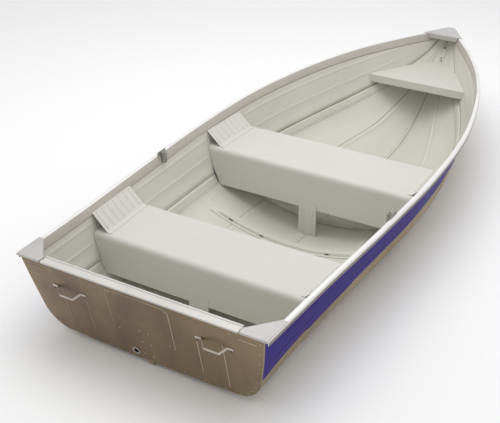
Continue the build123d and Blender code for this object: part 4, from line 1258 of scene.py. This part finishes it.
# %% Rivets on posts, gussets and the bow seat
post_places = []
for bench_name, at, length, top, depth in BENCHES:
    plate_x = at - HALF_LENGTH - FIT / 2 - 0.003
    under = FOOT_Z + top - depth
    for y in (-0.038, 0.038):
        post_places += [(plate_x, y, under + 0.028), (plate_x, y, under - 0.020)]
post_places = np.array(post_places)
heads("post_rivets", [post_places], [np.broadcast_to([-1.0, 0.0, 0.0], post_places.shape)],
      0.0036, 0.0015, seat_paint, "seat_paint")
heads("gusset_pop_rivets", [pair[0] for pair in gusset_tops], [pair[1] for pair in gusset_tops],
      0.0028, 0.0009, dark_steel, "cast_alloy")
seat_x = np.array([1.235, 1.33, 1.44])
seat_row = skin_frame(seat_x, 2, np.full(3, 0.13), HULL_GAUGE, side_pressing)
heads_on_both_sides("bow_seat_screws", [seat_row], 0.0032, 0.0012, dark_steel, "cast_alloy")
strap_bolts = np.array([(1.6838, 0.0, 0.3280), (1.7310, 0.0, 0.3860)])
strap_out = np.array([(-0.758, 0.0, 0.652), (-0.791, 0.0, 0.612)])
heads("strap_washers", [strap_bolts], [strap_out], 0.0110, 0.0016, cast_alloy, "cast_alloy", DISC, 20)
heads("strap_nuts", [strap_bolts], [strap_out], 0.0060, 0.0060, dark_steel, "cast_alloy", DISC, 6)

# Dark flat ovals on the middle rib's aft flank: painted shade where the drain slots would be.
SLOTS = (0.372, 0.178, -0.220)
SLOT_X = -0.484
slot_side = np.sign(SLOTS)
slot_shares = np.linspace(0, 1, 60)
slot_reach = skin_points(np.full(60, SLOT_X), 0, slot_shares, HULL_GAUGE)[0][:, 0]
slot_share = np.interp(np.abs(SLOTS), slot_reach, slot_shares)
slot_point, slot_angle = skin_points(np.full(3, SLOT_X), 0, slot_share, HULL_GAUGE)
slot_point = moved_in(slot_point, slot_angle, RIB_CLEAR + RIB_HEIGHT * 0.5)
slot_place = np.column_stack([np.full(3, SLOT_X - 0.0005), slot_point[:, 0] * slot_side, slot_point[:, 1]])
tilt = np.column_stack([
    np.full(3, -0.86), -0.5 * np.sin(slot_angle) * slot_side, 0.5 * np.cos(slot_angle)])
heads("rib_slot_painted_shade", [slot_place], [tilt], 0.0034, 0.0006, dark_steel, "hull_paint",
      DISC, 16, long=(1.0, 4.4))

rib_rows = []
for _, middle, _ in RIBS:
    for offset in (-0.0345, 0.0345):
        for part, shares in ((0, np.linspace(0.06, 0.97, 10)), (1, np.array([0.22, 0.44]))):
            rib_x = np.full(len(shares), middle + offset)
            rib_rows.append(skin_frame(rib_x, part, shares, HULL_GAUGE + RIB_CLEAR))
heads_on_both_sides("rib_rivets", rib_rows, 0.0030, 0.0013, hull_paint, "hull_paint")

# %% [markdown]
# ## Stage, light and camera
#
# The boat floats, so the floor is the still water's level and hides the hull under it. It
# may not show inside the boat, so it has a hole that follows the waterline in the middle
# of the skin. A wide soft light hangs overhead, as in the photograph, and the world fills
# the shadows.

# %% Stage and lights
FLOOR_REACH = 60.0
FILL_STRENGTH = 0.72
BACKDROP = (0.93, 0.94, 0.95)
LAMP_PLACE = (0.2, 0.2, 4.2)
LAMP_TARGET = (0.0, 0.0, 0.2)
LAMP_SIZE = 4.2
LAMP_POWER = 92.0
floats = np.linspace(-HALF_LENGTH + 0.01, HALF_LENGTH - 0.1, 900)
under_water = section(floats, HULL_GAUGE / 2)[0][0][:, 1] < 0
wet = floats[under_water]
wet = wet[0] + (wet[-1] - wet[0]) * (0.5 - 0.5 * np.cos(np.pi * np.linspace(0, 1, 90)))
half_water = breadth_at(wet, 0 * wet, HULL_GAUGE / 2)
half_water[[0, -1]] = 0.0
loop = np.concatenate([np.stack([wet, half_water], -1), np.stack([wet, -half_water], -1)[-2:0:-1]])
turn = np.arctan2(loop[:, 1] / HALF_BEAM, loop[:, 0] / HALF_LENGTH)
away = FLOOR_REACH * np.stack([np.cos(turn), np.sin(turn)], -1)
ring = np.stack([loop, away])
ring = np.concatenate([ring, 0 * ring[..., :1]], -1)
floor_mesh = mesh_from("floor", ring, grid_faces(2, len(loop), wrap=True))
print("waterline", round(float(wet[-1] - wet[0]), 3), "m long and",
      round(2 * float(half_water.max()), 3), "m broad")


def seen_rays(tree):
    """1 for the rays that show the background (camera, glossy, transmission), 0 for the rest."""
    kind = tree.nodes.new("ShaderNodeLightPath")
    found = kind.outputs["Is Camera Ray"]
    for name in ("Is Glossy Ray", "Is Transmission Ray"):
        higher = tree.nodes.new("ShaderNodeMath")
        higher.operation = "MAXIMUM"
        tree.links.new(found, higher.inputs[0])
        tree.links.new(kind.outputs[name], higher.inputs[1])
        found = higher.outputs[0]
    return found


stage_finish = Finish("pale_stage")
cloud = stage_finish.noise(0.6, 2.0)
seen = Socket(stage_finish, seen_rays(stage_finish.tree))
pale = stage_finish.blend(cloud, (0.955, 0.955, 0.955), (0.975, 0.975, 0.975))
stage_finish.feed("Base Color", stage_finish.blend(seen, (0.78, 0.78, 0.77), pale))
stage_finish.feed("Roughness", 0.9)
floor = bpy.data.objects.new("floor", floor_mesh)
floor_mesh.materials.append(stage_finish.material)
bpy.context.scene.collection.objects.link(floor)

world = bpy.data.worlds.new("studio")
bpy.context.scene.world = world
world.use_nodes = True
world_tree = world.node_tree
sky = world_tree.nodes["Background"]
sky.inputs["Color"].default_value = (1.0, 1.0, 1.0, 1.0)
sky.inputs["Strength"].default_value = FILL_STRENGTH
backdrop = world_tree.nodes.new("ShaderNodeBackground")
backdrop.inputs["Color"].default_value = (*BACKDROP, 1.0)
backdrop.inputs["Strength"].default_value = 1.0
choose = world_tree.nodes.new("ShaderNodeMixShader")
world_out = world_tree.nodes["World Output"]
world_tree.links.new(seen_rays(world_tree), choose.inputs[0])
world_tree.links.new(sky.outputs[0], choose.inputs[1])
world_tree.links.new(backdrop.outputs[0], choose.inputs[2])
world_tree.links.new(choose.outputs[0], world_out.inputs["Surface"])


def soft_light(name, position, target, size, power):
    """A square soft light at a position, turned to a target."""
    lamp = bpy.data.lights.new(name, "AREA")
    lamp.shape = "SQUARE"
    lamp.size = size
    lamp.energy = power
    holder = bpy.data.objects.new(name, lamp)
    holder.matrix_world = Matrix.Translation(position) @ (
        Vector(target) - Vector(position)).to_track_quat("-Z", "Y").to_matrix().to_4x4()
    bpy.context.scene.collection.objects.link(holder)
    return holder


soft_light("overhead", LAMP_PLACE, LAMP_TARGET, LAMP_SIZE, LAMP_POWER)
print("stage and lights placed")

# %% Camera at the photograph's place
CAMERA_PLACE = (-4.3284, -2.0165, 2.5794)
CAMERA_RIGHT = Vector((0.50818392, -0.86124731, 0.00147346))
CAMERA_AHEAD = Vector((0.75268866, 0.44329547, -0.48677398))
CAMERA_DOWN = Vector((-0.41857961, -0.24847977, -0.87352671))
camera_data = bpy.data.cameras.new("camera")
camera_data.sensor_width = 36.0
camera_data.lens = 68.33
camera_data.clip_end = 200.0
camera = bpy.data.objects.new("camera", camera_data)
camera.matrix_world = Matrix.Translation(CAMERA_PLACE) @ Matrix(
    (CAMERA_RIGHT, -CAMERA_DOWN, -CAMERA_AHEAD)).transposed().to_4x4()
bpy.context.scene.collection.objects.link(camera)
bpy.context.scene.camera = camera
bpy.context.scene.view_settings.view_transform = "Standard"
